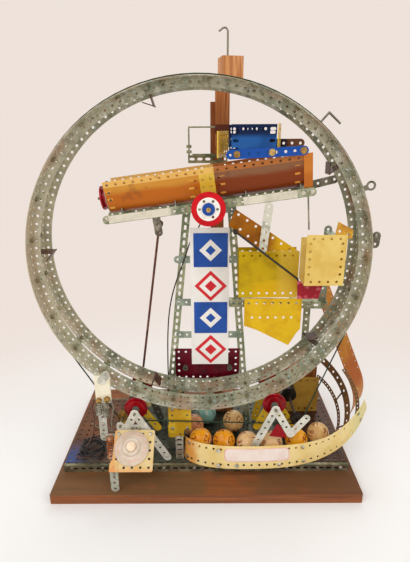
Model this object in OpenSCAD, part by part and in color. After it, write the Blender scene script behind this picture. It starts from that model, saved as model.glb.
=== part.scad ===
// Lottery machine built from perforated metal strips, plates and rings.
// X runs to the right, Y to the back and Z up, from the centre of the base's underside.

/* [Construction system] */
// Distance between neighbouring holes
pitch = 12.7; // [12:0.1:13.4]
// Width of a strip
strip_w = 12.7; // [12:0.1:12.9]
// Thickness of the sheet metal
metal_t = 1; // [0.8:0.1:1.1]
// Radius of a punched hole
hole_r = 2.05; // [1.9:0.05:2.3]
// Radius of a rod or axle
rod_r = 2.04; // [1.5:0.02:2.04]

/* [Base] */
// Width of the wooden base board
base_w = 488; // [480:1:560]
// Depth of the wooden base board
base_d = 292; // [290:1:340]
// Thickness of the wooden base board
base_t = 18; // [18:0.5:18]

/* [Wheel] */
// Outer radius of the two rings
wheel_r = 251; // [250:0.5:251]
// Place of the wheel's axis in X
wheel_x = -8; // [-8:0.5:-8]
// Height of the wheel's axis
wheel_z = 370; // [370:0.5:372]
// Depth of each ring's flange
ring_depth = 25.4; // [25:0.1:25.4]
// Holes round each ring
ring_holes = 125; // [75:25:125]
// Cross bars between the rings
bar_count = 25; // [5:5:25]

/* [Rollers] */
// Radius of a roller's tread
tread_r = 16; // [14:0.5:16]
// Radius of a roller's flange
flange_r = 19; // [17:0.5:19]

/* [Trough] */
// Height of the rocking pivot
rock_z = 448; // [446:0.5:450]
// Place of the rocking pivot in X
rock_x = 6; // [5:0.5:7]
// Tilt of the trough at rest, low at the left
rock_tilt = 7.5; // [6:0.5:7.5]
// Radius of the trough's rounded bottom
trough_r = 24; // [22:0.5:24]

/* [Balls] */
// Radius of a ball
ball_r = 19; // [17:0.5:19]

/* [Hidden] */
$fn = 48;

bore_r = rod_r + 0.06;
shank_r = hole_r - 0.1;
head_r = 3.1;
head_t = 1.7;
touch = 0.02;

// Deck
deck_left = -235;
deck_front = -97;
deck_holes_x = 37;
deck_holes_y = 15;
deck_back = deck_front + deck_holes_y * pitch;
deck_z = base_t + strip_w;
deck_top = deck_z + metal_t;
plate_front = deck_front + 6;
plate_rows = 14;

// Wheel planes, each the front edge of a ring
front_ring_y = -70.4;
rear_ring_y = front_ring_y + 4 * pitch;
ring_face = strip_w;
face_hole_r = wheel_r - ring_face / 2;
ring_back = front_ring_y + ring_depth;
bar_y = front_ring_y + pitch;
bar_holes = 4;
bar_step = 360 / bar_count;

// Rollers
roller_reach = wheel_r + tread_r + 0.3;
roller_left_x = -114;
roller_right_x = 112;
function roller_z(x) = wheel_z - sqrt(pow(roller_reach, 2) - pow(x - wheel_x, 2));
front_tread_y = -71;
rear_tread_y = -6;
rear_flange_y = 6.4;
bracket_front_y = -88;
bracket_rear_y = 18;

// Trough
trough_plane_y = -15;
trough_lift = 6.5;
trough_wall = 32;
trough_lean = 75;
trough_start = -146;
trough_join_a = -8;
trough_join_b = 14;
trough_end = 154;
rail_front_y = -36.5;
rail_rear_y = 5.5;
rail_holes = 25;
arm_u = -85;
arm_w = -29;
linkage_y = 31;
lever_y = linkage_y - 3.6;

// Tower
leg_y = 14;
leg_top_z = 444;
leg_left_foot = -71.6;
leg_left_top = -27;
leg_right_foot = 76;
leg_right_top = 42;

// Post
post_w = 22;
post_x = 21;
post_y = 52;
post_front_y = 40;
post_front_x = 28.5;
post_split_z = 528;
post_top_z = 626;
block_size = 32;
foot_top_z = 70;
block_front_y = 60;

// Cord and its pulleys
cord_r = 1.1;
cord_y = -61;
cord_track = wheel_r + 0.3 + cord_r;
motor_x = 152;
motor_z = 94;
motor_track = 8 + 0.3 + cord_r;
idler_x = -138;
idler_z = 102;
idler_track = 7 + 0.3 + cord_r;

// A drawing in X and Z, standing up with its front face at y
module facing(y, t = metal_t) {
    translate([0, y + t, 0]) rotate([90, 0, 0]) linear_extrude(t) children();
}

// A strip from its first hole along X
module strip_2d(holes, r = hole_r) {
    length = (holes - 1) * pitch;
    difference() {
        union() {
            translate([0, -strip_w / 2]) square([length, strip_w]);
            circle(strip_w / 2);
            translate([length, 0]) circle(strip_w / 2);
        }
        for (i = [0:holes - 1]) translate([i * pitch, 0]) circle(r);
    }
}

// A plate with a hole in every square of the grid
module plate_2d(columns, rows) {
    difference() {
        square([columns * pitch, rows * pitch]);
        for (i = [0:columns - 1], j = [0:rows - 1])
            translate([(i + 0.5) * pitch, (j + 0.5) * pitch]) circle(hole_r);
    }
}

// A plate with holes along its edges only
module edged_plate_2d(columns, rows) {
    difference() {
        square([columns * pitch, rows * pitch]);
        for (i = [0:columns - 1], j = [0:rows - 1])
            if (i == 0 || j == 0 || i == columns - 1 || j == rows - 1)
                translate([(i + 0.5) * pitch, (j + 0.5) * pitch]) circle(hole_r);
    }
}

// A slot of three hole widths along X
module slot_2d() {
    square([2 * hole_r, 2 * hole_r], center = true);
    for (side = [-1, 1]) translate([side * hole_r, 0]) circle(hole_r);
}

// An angle girder along X: one flange upright at the front, one level at the top
module girder(holes) {
    length = holes * pitch;
    facing(0) difference() {
        square([length, strip_w]);
        for (i = [0:holes - 1]) translate([(i + 0.5) * pitch, strip_w / 2]) slot_2d();
    }
    translate([0, metal_t, strip_w - metal_t]) linear_extrude(metal_t) difference() {
        square([length, strip_w - metal_t]);
        for (i = [0:holes - 1])
            translate([(i + 0.5) * pitch, strip_w / 2 - metal_t]) circle(hole_r);
    }
}

// A bolt along -Y, its head's back at y
module bolt(x, y, z, grip = 3) {
    translate([x, y, z]) rotate([90, 0, 0]) {
        cylinder(r = head_r, h = head_t);
        translate([0, 0, -grip]) cylinder(r = shank_r, h = grip);
    }
}

// Places children on the wheel's axis
module on_wheel() {
    translate([wheel_x, 0, wheel_z]) children();
}

// Turns children about the wheel's axis, from +X towards +Z
module round_wheel(angle) {
    on_wheel() rotate([0, -angle, 0]) children();
}

// The trough's own frame: u along it, w square to it
module in_trough() {
    translate([rock_x, 0, rock_z]) rotate([0, -rock_tilt, 0]) children();
}

// A drawing in Y and w, extruded along u from a to b
module along_trough(a, b) {
    in_trough() translate([a, 0, 0]) rotate([90, 0, 90]) linear_extrude(b - a) children();
}

// A curved ribbon through points, w wide along up and t thick
function unit(v) = v / norm(v);
function curve(a, b, c, d, n) = [for (i = [0:n]) let (s = i / n)
    pow(1 - s, 3) * a + 3 * s * pow(1 - s, 2) * b + 3 * s * s * (1 - s) * c + pow(s, 3) * d];

// A flat strip along points, with the side that it stands up on given for each point
module ribbon(points, ups, w, t) {
    last = len(points) - 1;
    corners = [for (i = [0:last])
        let (along = unit(points[min(i + 1, last)] - points[max(i - 1, 0)]))
        let (side = unit(ups[i] - (ups[i] * along) * along))
        let (out = cross(along, side))
        for (k = [[0, 0], [w, 0], [w, t], [0, t]]) points[i] + side * k[0] + out * k[1]];
    rings = [for (i = [0:last - 1], k = [0:3])
        let (a = 4 * i + k, b = 4 * i + (k + 1) % 4)
        each [[a, b + 4, b], [a, a + 4, b + 4]]];
    far = 4 * last * [1, 1, 1];
    ends = [[0, 2, 3], [0, 1, 2], far + [0, 2, 1], far + [0, 3, 2]];
    polyhedron(points = corners, faces = concat(rings, ends), convexity = 6);
}

// A round tube through points, with a guide that is never along it
module tube(points, r, guide, sides = 8) {
    last = len(points) - 1;
    ring_points = [for (i = [0:last])
        let (along = unit(points[min(i + 1, last)] - points[max(i - 1, 0)]))
        let (side = unit(guide - (guide * along) * along))
        let (out = cross(along, side))
        for (k = [0:sides - 1]) points[i] + r * (side * cos(k * 360 / sides) + out * sin(k * 360 / sides))];
    rings = [for (i = [0:last - 1], k = [0:sides - 1])
        let (a = sides * i + k, b = sides * i + (k + 1) % sides)
        each [[a, b + sides, b], [a, a + sides, b + sides]]];
    caps = [[for (k = [0:sides - 1]) k], [for (k = [sides - 1:-1:0]) sides * last + k]];
    polyhedron(points = ring_points, faces = concat(rings, caps), convexity = 6);
}

// A rod between two points
module rod(from, to, r = rod_r) {
    way = to - from;
    turn = atan2(way[1], way[0]);
    lean = acos(way[2] / norm(way));
    translate(from) rotate([0, lean, turn]) cylinder(r = r, h = norm(way));
}

module base_board() {
    color("saddlebrown") translate([-base_w / 2, -base_d / 2, 0]) cube([base_w, base_d, base_t]);
}

module deck_girders() {
    color("darkslategray") {
        translate([deck_left, deck_front, base_t]) girder(deck_holes_x);
        translate([deck_left + deck_holes_x * pitch, deck_back, base_t]) rotate([0, 0, 180])
            girder(deck_holes_x);
        for (side = [0, 1])
            translate([deck_left + side * deck_holes_x * pitch, side ? deck_front : deck_back, base_t])
                rotate([0, 0, side ? 90 : -90]) translate([pitch, 0, 0]) girder(deck_holes_y - 2);
    }
}

module deck_plate(first, columns) {
    translate([deck_left + first * pitch, plate_front, deck_z]) linear_extrude(metal_t)
        plate_2d(columns, plate_rows);
}

module deck_plate_left() {
    color("sienna") deck_plate(0, 9);
}

module deck_plate_centre() {
    color("darkslategray") deck_plate(9, 22);
}

module deck_plate_right() {
    color("maroon") deck_plate(31, 6);
}

module tower_leg(foot, top) {
    lean = atan2(top - foot, leg_top_z - deck_top);
    length = norm([top - foot, leg_top_z - deck_top]);
    inward = foot < 0 ? 1 : -1;
    translate([foot, leg_y, deck_top + 1.2]) rotate([0, lean, 0]) rotate([0, -90, 0]) {
        facing(0) difference() {
            translate([0, -strip_w / 2]) square([length - 2, strip_w]);
            for (i = [0:floor(length / pitch) - 1]) translate([(i + 0.5) * pitch, 0]) slot_2d();
        }
        translate([0, metal_t, inward * (strip_w - metal_t) / 2 - metal_t / 2])
            linear_extrude(metal_t) difference() {
                square([length - 2, strip_w - metal_t]);
                for (i = [0:floor(length / pitch) - 1])
                    translate([(i + 0.5) * pitch, strip_w / 2 - metal_t]) circle(hole_r);
            }
    }
}

module tower_legs() {
    color("slategray") {
        tower_leg(leg_left_foot, leg_left_top);
        tower_leg(leg_right_foot, leg_right_top);
    }
}

plate_low = [-54, 124];
module tower_plates() {
    color("darkred") facing(leg_y - metal_t)
        translate(plate_low) edged_plate_2d(9, 5);
    color("silver") {
        for (x = [-36, 43])
            translate([x, leg_y - metal_t, 151]) rotate([90, 0, 0]) difference() {
                cylinder(r = 4.5, h = 6);
                translate([0, 0, -1]) cylinder(r = rod_r, h = 8);
            }
        facing(leg_y - metal_t) difference() {
            translate([rock_x - 3.5 * pitch, rock_z - 1.5 * pitch]) square([7 * pitch, 2.4 * pitch]);
            for (i = [-3:3], j = [-1, 0])
                if (i != 0 || j != 0) translate([rock_x + i * pitch, rock_z + j * pitch]) circle(hole_r);
            translate([rock_x, rock_z]) circle(bore_r);
        }
        for (z = [215, 276, 352])
            facing(leg_y - metal_t) translate([6 - 4 * pitch, z]) strip_2d(9);
    }
}

module pivot_axle() {
    color("silver") {
        translate([rock_x, 26, rock_z]) rotate([90, 0, 0]) cylinder(r = rod_r, h = 94);
        translate([rock_x, 18, rock_z]) rotate([90, 0, 0]) difference() {
            cylinder(r = 5, h = 3.5);
            translate([0, 0, -1]) cylinder(r = rod_r, h = 6);
        }
    }
}

roundel_y = -62;
module roundel() {
    translate([rock_x, roundel_y, rock_z]) rotate([90, 0, 0]) {
        color("crimson") difference() {
            cylinder(r = 24.5, h = 2);
            translate([0, 0, -1]) cylinder(r = rod_r, h = 4);
            for (k = [0:5]) rotate([0, 0, 60 * k]) translate([pitch, 0, -1]) cylinder(r = hole_r, h = 4);
        }
        color("royalblue") translate([0, 0, 2]) difference() {
            cylinder(r = 9, h = 1.5);
            translate([0, 0, -1]) cylinder(r = rod_r, h = 4);
        }
        color("gold") translate([0, 0, -5]) difference() {
            cylinder(r = 5, h = 5);
            translate([0, 0, -1]) cylinder(r = rod_r, h = 7);
        }
    }
}

module sign_board() {
    color("white") facing(leg_y - metal_t - 1.6, 1.6)
        translate([-24, 158]) square([64, 247]);
}

// Strips that fan out from a roller's shaft, each foot given by its offset along X and its height
bracket_foot_z = deck_top + strip_w / 2 + 1;
module roller_vee(x, y, feet) {
    top = roller_z(x);
    facing(y) difference() {
        union() {
            for (foot = feet) {
                length = norm([foot[0], top - foot[1]]);
                translate([x, top]) rotate(atan2(foot[1] - top, foot[0])) {
                    translate([0, -strip_w / 2]) square([length, strip_w]);
                    translate([length, 0]) circle(strip_w / 2);
                }
            }
            translate([x, top]) circle(strip_w / 2 + 0.6);
        }
        translate([x, top]) circle(bore_r);
        for (foot = feet) {
            length = norm([foot[0], top - foot[1]]);
            translate([x, top]) rotate(atan2(foot[1] - top, foot[0]))
                for (i = [1:floor(length / pitch)]) translate([i * pitch, 0]) circle(hole_r);
        }
    }
}

brace_y = -57.5;
module roller_brackets() {
    low = bracket_foot_z;
    color("gainsboro") {
        roller_vee(roller_left_x, bracket_front_y, [[-44, low], [50, low]]);
        roller_vee(roller_right_x, bracket_front_y, [[-42, low], [24, 88]]);
        roller_vee(roller_left_x, bracket_rear_y, [[-44, low], [28, low]]);
        roller_vee(roller_right_x, bracket_rear_y, [[-20, low], [30, low]]);
    }
    color("gold") {
        roller_vee(roller_left_x, brace_y, [[-28, 81], [32, 75]]);
        roller_vee(roller_right_x, brace_y, [[-25, 76], [33, 82]]);
    }
    color("crimson") facing(bracket_front_y + metal_t)
        polygon([[116, 104], [104, 80], [132, 76], [130, 88]]);
    color("silver") {
        facing(bracket_front_y - metal_t) translate([idler_x, deck_top + 8]) rotate(90) difference() {
            strip_2d(6, hole_r);
            translate([idler_z - deck_top - 8, 0]) circle(bore_r);
        }
        facing(bracket_front_y - metal_t) translate([138, 85]) rotate(52) strip_2d(4);
        facing(bracket_front_y - metal_t) translate([-125, 98]) strip_2d(3);
        facing(lever_y + 1.5 * metal_t) translate([lever_pivot[0], deck_top + 8]) rotate(90) strip_2d(6);
        translate([lever_pivot[0], lever_y + 5, lever_pivot[1]]) rotate([90, 0, 0])
            cylinder(r = rod_r, h = 7);
    }
}

module roller_shafts() {
    color("silver") {
        for (x = [roller_left_x, roller_right_x]) {
            for (span = [[bracket_front_y - 4, brace_y + 3], [rear_tread_y + 0.2, rear_tread_y + 27.2]])
                translate([x, span[1], roller_z(x)]) rotate([90, 0, 0])
                    cylinder(r = rod_r, h = span[1] - span[0]);
            translate([x, bracket_rear_y + 6, roller_z(x)]) rotate([90, 0, 0]) difference() {
                cylinder(r = 4.5, h = 4.8);
                translate([0, 0, -1]) cylinder(r = rod_r, h = 7);
            }
        }
        translate([idler_x, cord_y + 3.2, idler_z]) rotate([90, 0, 0]) cylinder(r = rod_r, h = 33.2);
    }
}

// A roller round an axis along Y, its flange towards -Y
module roller(x, y) {
    tread = 7.5;
    flange = 9.5;
    translate([x, y, roller_z(x)]) rotate([90, 0, 0]) difference() {
        union() {
            translate([0, 0, -tread]) cylinder(r = tread_r, h = tread);
            cylinder(r = flange_r, h = 2);
            translate([0, 0, 2]) cylinder(r = flange_r - 3, h = 3);
            translate([0, 0, 5]) cylinder(r = 5.5, h = flange - 3.5);
        }
        translate([0, 0, -tread - 1]) cylinder(r = bore_r, h = tread + flange + 3);
    }
}

module left_rollers() {
    color("firebrick") {
        roller(roller_left_x, front_tread_y);
        translate([0, rear_flange_y, 0]) mirror([0, 1, 0]) roller(roller_left_x, 0);
    }
}

module right_rollers() {
    color("firebrick") {
        roller(roller_right_x, front_tread_y);
        translate([0, rear_flange_y, 0]) mirror([0, 1, 0]) roller(roller_right_x, 0);
    }
}

module wheel_ring(y) {
    on_wheel() translate([0, y, 0]) rotate([-90, 0, 0]) difference() {
        rotate_extrude($fn = 180) {
            translate([wheel_r - metal_t, 0]) square([metal_t, ring_depth]);
            translate([wheel_r - ring_face, ring_depth - metal_t]) square([ring_face, metal_t]);
        }
        for (i = [0:ring_holes - 1]) rotate([0, 0, i * 360 / ring_holes]) {
            translate([face_hole_r, 0, ring_depth - 2]) cylinder(r = hole_r, h = 3, $fn = 16);
            for (row = [0.5, 1.5]) translate([wheel_r - 3, 0, row * pitch]) rotate([0, 90, 0])
                cylinder(r = hole_r, h = 5, $fn = 16);
        }
    }
}

module front_ring() {
    color("darkseagreen") wheel_ring(front_ring_y);
}

module rear_ring() {
    color("darkseagreen") wheel_ring(rear_ring_y);
}

module cross_bars() {
    color("slategray") for (i = [0:bar_count - 1])
        round_wheel(i * bar_step) translate([wheel_r + touch, bar_y + pitch / 2, 0])
            rotate([90, 0, 90]) linear_extrude(metal_t) strip_2d(bar_holes);
}

module ring_bolts() {
    color("goldenrod") for (i = [0:bar_count - 1], hole = [0, bar_holes - 1])
        round_wheel(i * bar_step) translate([0, bar_y + (hole + 0.5) * pitch, 0]) rotate([0, 90, 0]) {
            translate([0, 0, wheel_r + touch + metal_t]) cylinder(r = head_r, h = head_t);
            translate([0, 0, wheel_r - 3.5]) cylinder(r = shank_r, h = 3.5 + touch + metal_t);
            translate([0, 0, wheel_r - 3.7]) rotate([0, 0, 30]) cylinder(r = 3.4, h = 2.4, $fn = 6);
        }
}

scoop_count = 5;
module ball_scoops() {
    color("peru") for (i = [0:scoop_count - 1])
        round_wheel((i + 0.5) * 360 / scoop_count) facing(ring_back + 0.5, 24.4) {
            translate([222, -10]) square([29, 1.2]);
            translate([222, -10]) rotate(-35) square([1.2, 17]);
        }
}

trip_y = ring_back;
module trip_arms() {
    color("silver") {
        round_wheel(49) {
            rod([face_hole_r, trip_y + 1.5, 0], [272, trip_y + 1.5, 0], 1.5);
            translate([272, trip_y + 1.5, 0]) sphere(r = 1.5, $fn = 24);
            rod([272, trip_y + 1.5, 0], [272, trip_y + 1.5, -22], 1.5);
        }
        round_wheel(23.5) facing(trip_y) translate([face_hole_r, 0]) difference() {
            union() {
                translate([0, -4]) square([24, 8]);
                circle(4);
                translate([24, 0]) circle(7);
            }
            translate([24, 0]) circle(4);
            circle(hole_r);
        }
        round_wheel(7.2) {
            rod([face_hole_r, trip_y + 1.2, 0], [270, trip_y + 1.2, 0], 1.2);
            facing(trip_y + 2.4) translate([266, 0]) rotate(-100) strip_2d(2);
        }
    }
}

// The trough's section, a round bottom between two leaning walls
function trough_centre() = [trough_plane_y, trough_lift + trough_r];
module trough_section() {
    translate(trough_centre()) {
        difference() {
            circle(trough_r, $fn = 96);
            circle(trough_r - metal_t, $fn = 96);
            translate([-40, -trough_r * cos(trough_lean)]) square([80, 60]);
        }
        for (side = [-1, 1]) scale([side, 1])
            translate([trough_r * sin(trough_lean), -trough_r * cos(trough_lean)])
                rotate(trough_lean) {
                    translate([0, 0]) square([trough_wall, metal_t]);
                }
    }
}

// Cuts across both walls, height s up each wall and u along the trough
module wall_cut(u, s) {
    in_trough() translate([u, trough_plane_y, trough_lift + trough_r]) for (side = [-1, 1])
        scale([1, side, 1]) translate([0, trough_r * sin(trough_lean), -trough_r * cos(trough_lean)])
            rotate([trough_lean, 0, 0]) translate([0, s, -3]) children();
}

module trough_plate(a, b, first) {
    difference() {
        along_trough(a, b) trough_section();
        for (u = [first:pitch:b - 5]) wall_cut(u, trough_wall - 5) cylinder(r = hole_r, h = 6);
        for (u = [first, b - 6], s = [4, 15]) wall_cut(u, s) cylinder(r = hole_r, h = 6);
    }
}

module trough_left() {
    color("sienna") trough_plate(trough_start, trough_join_a, trough_start + 6);
}

module trough_middle() {
    color("goldenrod") trough_plate(trough_join_a, trough_join_b, trough_join_a + 5);
}

module trough_right() {
    color("saddlebrown") trough_plate(trough_join_b, trough_end, trough_join_b + 6);
}

module trough_rails() {
    color("lightgray") in_trough() for (y = [rail_front_y, rail_rear_y])
        facing(y) translate([-(rail_holes - 1) / 2 * pitch, 0]) strip_2d(rail_holes, hole_r);
}

module trough_cradles() {
    color("slategray") for (u = [-128, -48, 56, 136])
        along_trough(u, u + metal_t) difference() {
            translate([rail_front_y + metal_t, -strip_w / 2])
                square([rail_rear_y - rail_front_y - metal_t, strip_w + 8]);
            translate(trough_centre()) circle(trough_r + 0.05, $fn = 96);
        }
    color("darkgoldenrod") along_trough(trough_end - strip_w, trough_end)
        translate(trough_centre()) scale([-1, 1])
            translate([trough_r * sin(trough_lean), -trough_r * cos(trough_lean)])
                rotate(trough_lean) translate([-18, -metal_t]) square([4 * pitch, metal_t]);
    color("gray") along_trough(trough_start - metal_t, trough_start) difference() {
        translate(trough_centre()) {
            circle(trough_r, $fn = 96);
            translate([-26, -4]) square([52, 18]);
        }
        translate(trough_centre()) circle(hole_r);
    }
}

end_axle_w = trough_lift + trough_r;
module rock_arm() {
    color("silver") {
        in_trough() {
            facing(rail_rear_y + metal_t) translate([arm_u, 0]) rotate(-90) strip_2d(4);
            translate([arm_u, linkage_y + 6, arm_w]) rotate([90, 0, 0])
                cylinder(r = rod_r, h = linkage_y - 2);
            translate([trough_start - metal_t, trough_plane_y, end_axle_w]) rotate([0, -90, 0])
                cylinder(r = rod_r, h = 17);
            facing(rail_rear_y + metal_t) translate([146, 2]) rotate(6) strip_2d(5);
            rod([147, rail_front_y + metal_t + 1.2, 4], [144.5, rail_front_y + metal_t + 1.2, -56], 1.2);
        }
    }
}

module end_pulley() {
    color("firebrick") in_trough() translate([trough_start - metal_t - 1, trough_plane_y, end_axle_w])
        rotate([0, -90, 0]) difference() {
            union() {
                cylinder(r = 18, h = 2.5);
                translate([0, 0, 2.5]) cylinder(r = 14, h = 4);
                translate([0, 0, 6.5]) cylinder(r = 18, h = 2.5);
                translate([0, 0, 9]) cylinder(r = 5, h = 3);
            }
            translate([0, 0, -1]) cylinder(r = bore_r, h = 16);
        }
}

arm_reach = norm([arm_u, arm_w]);
arm_angle = atan2(arm_w, arm_u) + rock_tilt;
pin_top = [rock_x + arm_reach * cos(arm_angle), rock_z + arm_reach * sin(arm_angle)];
rod_drop = [-53.7, -354];
lever_pivot = [rock_x, rock_z] + rod_drop;
pin_low = pin_top + rod_drop;
module push_rod() {
    color("dimgray") {
        rod([pin_top[0], linkage_y, pin_top[1]] + 6 * [unit(rod_drop)[0], 0, unit(rod_drop)[1]],
            [pin_low[0], linkage_y, pin_low[1]] - 6 * [unit(rod_drop)[0], 0, unit(rod_drop)[1]], 2);
        for (eye = [pin_top, pin_low])
            translate([eye[0], linkage_y + 2, eye[1]]) rotate([90, 0, 0]) difference() {
                cylinder(r = 6.2, h = 4);
                translate([0, 0, -1]) cylinder(r = eye == pin_top ? bore_r : rod_r + 0.4, h = 6);
            }
    }
}

module rock_lever() {
    color("khaki") {
        facing(lever_y) difference() {
            translate(lever_pivot) rotate(arm_angle) {
                translate([0, -strip_w / 2]) square([arm_reach, strip_w]);
                circle(strip_w / 2);
                translate([arm_reach, 0]) circle(strip_w / 2);
            }
            translate(lever_pivot) circle(bore_r);
            translate(lever_pivot) rotate(arm_angle)
                for (i = [1:6]) translate([i * pitch, 0]) circle(hole_r);
        }
        translate([pin_low[0], linkage_y + 5, pin_low[1]]) rotate([90, 0, 0]) cylinder(r = rod_r, h = 9);
    }
}

module post_timbers() {
    color("burlywood") {
        translate([post_x - post_w / 2, post_y, foot_top_z]) cube([post_w, post_w, 595 - foot_top_z]);
        difference() {
            translate([post_front_x - post_w / 2, post_front_y, post_split_z])
                cube([post_w, post_y - post_front_y, post_top_z - post_split_z]);
            translate([post_front_x - post_w / 2 - 1, post_front_y - 1, post_split_z - 1])
                cube([post_w + 2, 5, 26]);
        }
        translate([post_front_x - post_w / 2, post_y, 595]) cube([post_w, 16, post_top_z - 595]);
    }
}

module top_block() {
    color("peru") translate([41, 60, post_top_z]) rotate([0, 0, 12]) difference() {
        translate([-block_size / 2, -block_size / 2, 0]) cube(block_size);
        translate([-4, 2, block_size - 8]) cylinder(r = 1.55, h = 10);
    }
}

module hook_wire() {
    foot = [41 - 4 * cos(12) - 2 * sin(12), 60 - 4 * sin(12) + 2 * cos(12)];
    bend = 5;
    top = 693;
    turn = 125;
    crown = [for (k = [0:6]) let (a = turn * k / 6)
        [foot[0] - bend + bend * cos(a), foot[1], top + bend * sin(a)]];
    tip = crown[6] + 7 * [-sin(turn), 0, cos(turn)];
    color("dimgray")
        tube(concat([[foot[0], foot[1], post_top_z + block_size - 8]], crown, [tip]), 1.5, [0, 1, 0], 12);
}

module foot_blocks() {
    color("peru") {
        translate([-11, 48, deck_top]) cube([64, 44, foot_top_z - deck_top]);
        translate([152, block_front_y, deck_top]) cube([62, 32, 90]);
    }
}

hopper_x = [37, 101];
hopper_y = [-49, 18];
hopper_z = [518.5, 561];
hopper_strip_z = 521;
hopper_strip_slope = 3;
module hopper_walls() {
    color("royalblue") {
        for (y = [hopper_y[0], hopper_y[1] - metal_t])
            facing(y) difference() {
                translate([hopper_x[0] + metal_t, hopper_z[0]])
                    square([hopper_x[1] - hopper_x[0] - 2 * metal_t, hopper_z[1] - hopper_z[0]]);
                for (i = [0:4])
                    translate([hopper_x[0] + 7 + i * pitch, hopper_z[1] - 6]) slot_2d();
                for (i = [0:2], x = [hopper_x[0] + 7, hopper_x[1] - 7])
                    translate([x, hopper_z[0] + 10 + i * 11]) slot_2d();
            }
        facing(hopper_y[0] - metal_t) translate([hopper_x[0], hopper_strip_z])
            rotate(hopper_strip_slope) strip_2d(9);
    }
    color("goldenrod") for (x = [45.5, 94.5, 138])
        bolt(x, hopper_y[0] - metal_t, hopper_strip_z + (x - hopper_x[0]) * tan(hopper_strip_slope), 0.6);
}

hopper_left_flare = 16;
hopper_right_flare = 12;
module hopper_end_2d(height) {
    depth = hopper_y[1] - hopper_y[0] - 2;
    difference() {
        square([depth, height]);
        for (i = [0:3], z = [7, height - 8]) translate([11 + i * pitch, z]) slot_2d();
        translate([6, height / 2]) slot_2d();
    }
}
module hopper_ends() {
    color("gold") {
        translate([hopper_x[0], hopper_y[1] - 1, hopper_z[0] - 2]) rotate([0, 0, -hopper_left_flare])
            rotate([90, 0, -90]) linear_extrude(metal_t) hopper_end_2d(36);
        translate([hopper_x[1] + 0.6, hopper_y[0] + 2, hopper_z[0]]) rotate([0, 0, -hopper_right_flare])
            rotate([90, 0, 90]) linear_extrude(metal_t) hopper_end_2d(hopper_z[1] - hopper_z[0] + 1);
    }
}

carrier_z = 534;
module hopper_carrier() {
    color("slategray") {
        facing(post_front_y + 3) translate([post_x + 6, carrier_z]) strip_2d(7);
        for (x = [hopper_x[0] + 6, hopper_x[1] - 7])
            translate([x, hopper_y[1] + metal_t, carrier_z - strip_w / 2])
                cube([metal_t, post_front_y + 2 - hopper_y[1], strip_w]);
        facing(hopper_y[1]) translate([hopper_x[0] + 8, carrier_z]) strip_2d(9);
    }
}

module crown_girder() {
    color("slategray") translate([-26, post_y - strip_w, 503]) difference() {
        mirror([0, 1, 0]) translate([0, -strip_w, 0]) girder(5);
        translate([46, -1, 10]) cube([30, 30, 5]);
    }
    color("dimgray") {
        rod([-19, 44, 516.9], [15, 44, 516.9], 1.2);
        rod([-24, 42, 515.7], [-24, 42, 558], 1.2);
        translate([-24, 42, 558]) sphere(r = 1.2, $fn = 24);
        rod([-24, 42, 558], [17.5, 42, 558], 1.2);
        for (z = [519, 527]) translate([-24, 42, z]) difference() {
            cylinder(r = 4, h = 4.5);
            translate([0, 0, -1]) cylinder(r = 1.2, h = 7);
        }
    }
}

box_x = [147, 205];
box_z = [334, 411];
box_y = [-68, -30];
module receiving_box() {
    color("gold") {
        facing(box_y[0]) difference() {
            translate([box_x[0], box_z[0]]) square([box_x[1] - box_x[0], box_z[1] - box_z[0]]);
            for (i = [0:3], z = [box_z[0] + 6, box_z[1] - 6])
                translate([box_x[0] + 10 + i * pitch, z]) circle(hole_r);
            for (i = [1:5], x = [box_x[0] + 6, box_x[1] - 6])
                translate([x, box_z[0] + 6 + i * 11.6]) circle(hole_r);
        }
        facing(box_y[1] - metal_t)
            translate([box_x[0], box_z[0]]) square([box_x[1] - box_x[0], box_z[1] - box_z[0] - 12]);
        translate([box_x[1] - metal_t, box_y[0] + metal_t, box_z[0]])
            cube([metal_t, box_y[1] - box_y[0] - 2 * metal_t, box_z[1] - box_z[0] - 6]);
        translate([box_x[0], box_y[0] + metal_t, box_z[0]])
            cube([box_x[1] - box_x[0] - metal_t, box_y[1] - box_y[0] - 2 * metal_t, metal_t]);
    }
}

module box_bracket() {
    color("crimson") facing(-47) polygon([[143, 305], [176, 305], [182, box_z[0]], [141.5, box_z[0]]]);
    color("darkgoldenrod") facing(box_y[0] + metal_t) difference() {
        polygon([[186, 405.5], [212, 405.5], [212, 418], [190, 430]]);
        translate([193, 416]) circle(hole_r);
        translate([206, 411]) circle(hole_r);
    }
    color("silver") {
        for (z = [345, 398])
            translate([box_x[1] - 12, box_y[1], z]) cube([strip_w, leg_y - box_y[1], metal_t]);
        facing(leg_y) translate([box_x[1] - 12 + strip_w / 2, 274]) rotate(90) strip_2d(11);
    }
}

chute_y = -30;
rod_start = [46, -43, 411];
rod_end = [142.5, -43, 336.3];
module diagonal_plate() {
    color("darkgoldenrod") facing(chute_y) difference() {
        polygon([[36, 418], [46.5, 442.2], [143.5, 377.6], [83, 377.6]]);
        for (i = [0:6]) translate([51 + i * 13.2, 434 - i * 9]) circle(hole_r);
        for (i = [0:2]) translate([54 + i * 12, 411.5 - i * 10.5]) circle(hole_r);
        translate([rod_start[0], rod_start[2]]) circle(hole_r);
    }
    color("khaki") facing(chute_y - 10) translate([88, 384]) rotate(84) strip_2d(6);
    color("dimgray") {
        rod(rod_start, rod_end, 1.7);
        rod(rod_end, [146.5, rod_end[1], 326], 1.4);
        translate(rod_end) sphere(r = 1.9, $fn = 24);
        translate([rod_start[0], leg_y - 0.2, rod_start[2]]) rotate([90, 0, 0]) cylinder(r = 1.9, h = 60);
        translate(rod_start + [0, 0.6, 0]) rotate([90, 0, 0]) cylinder(r = 4, h = 3);
    }
}

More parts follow.
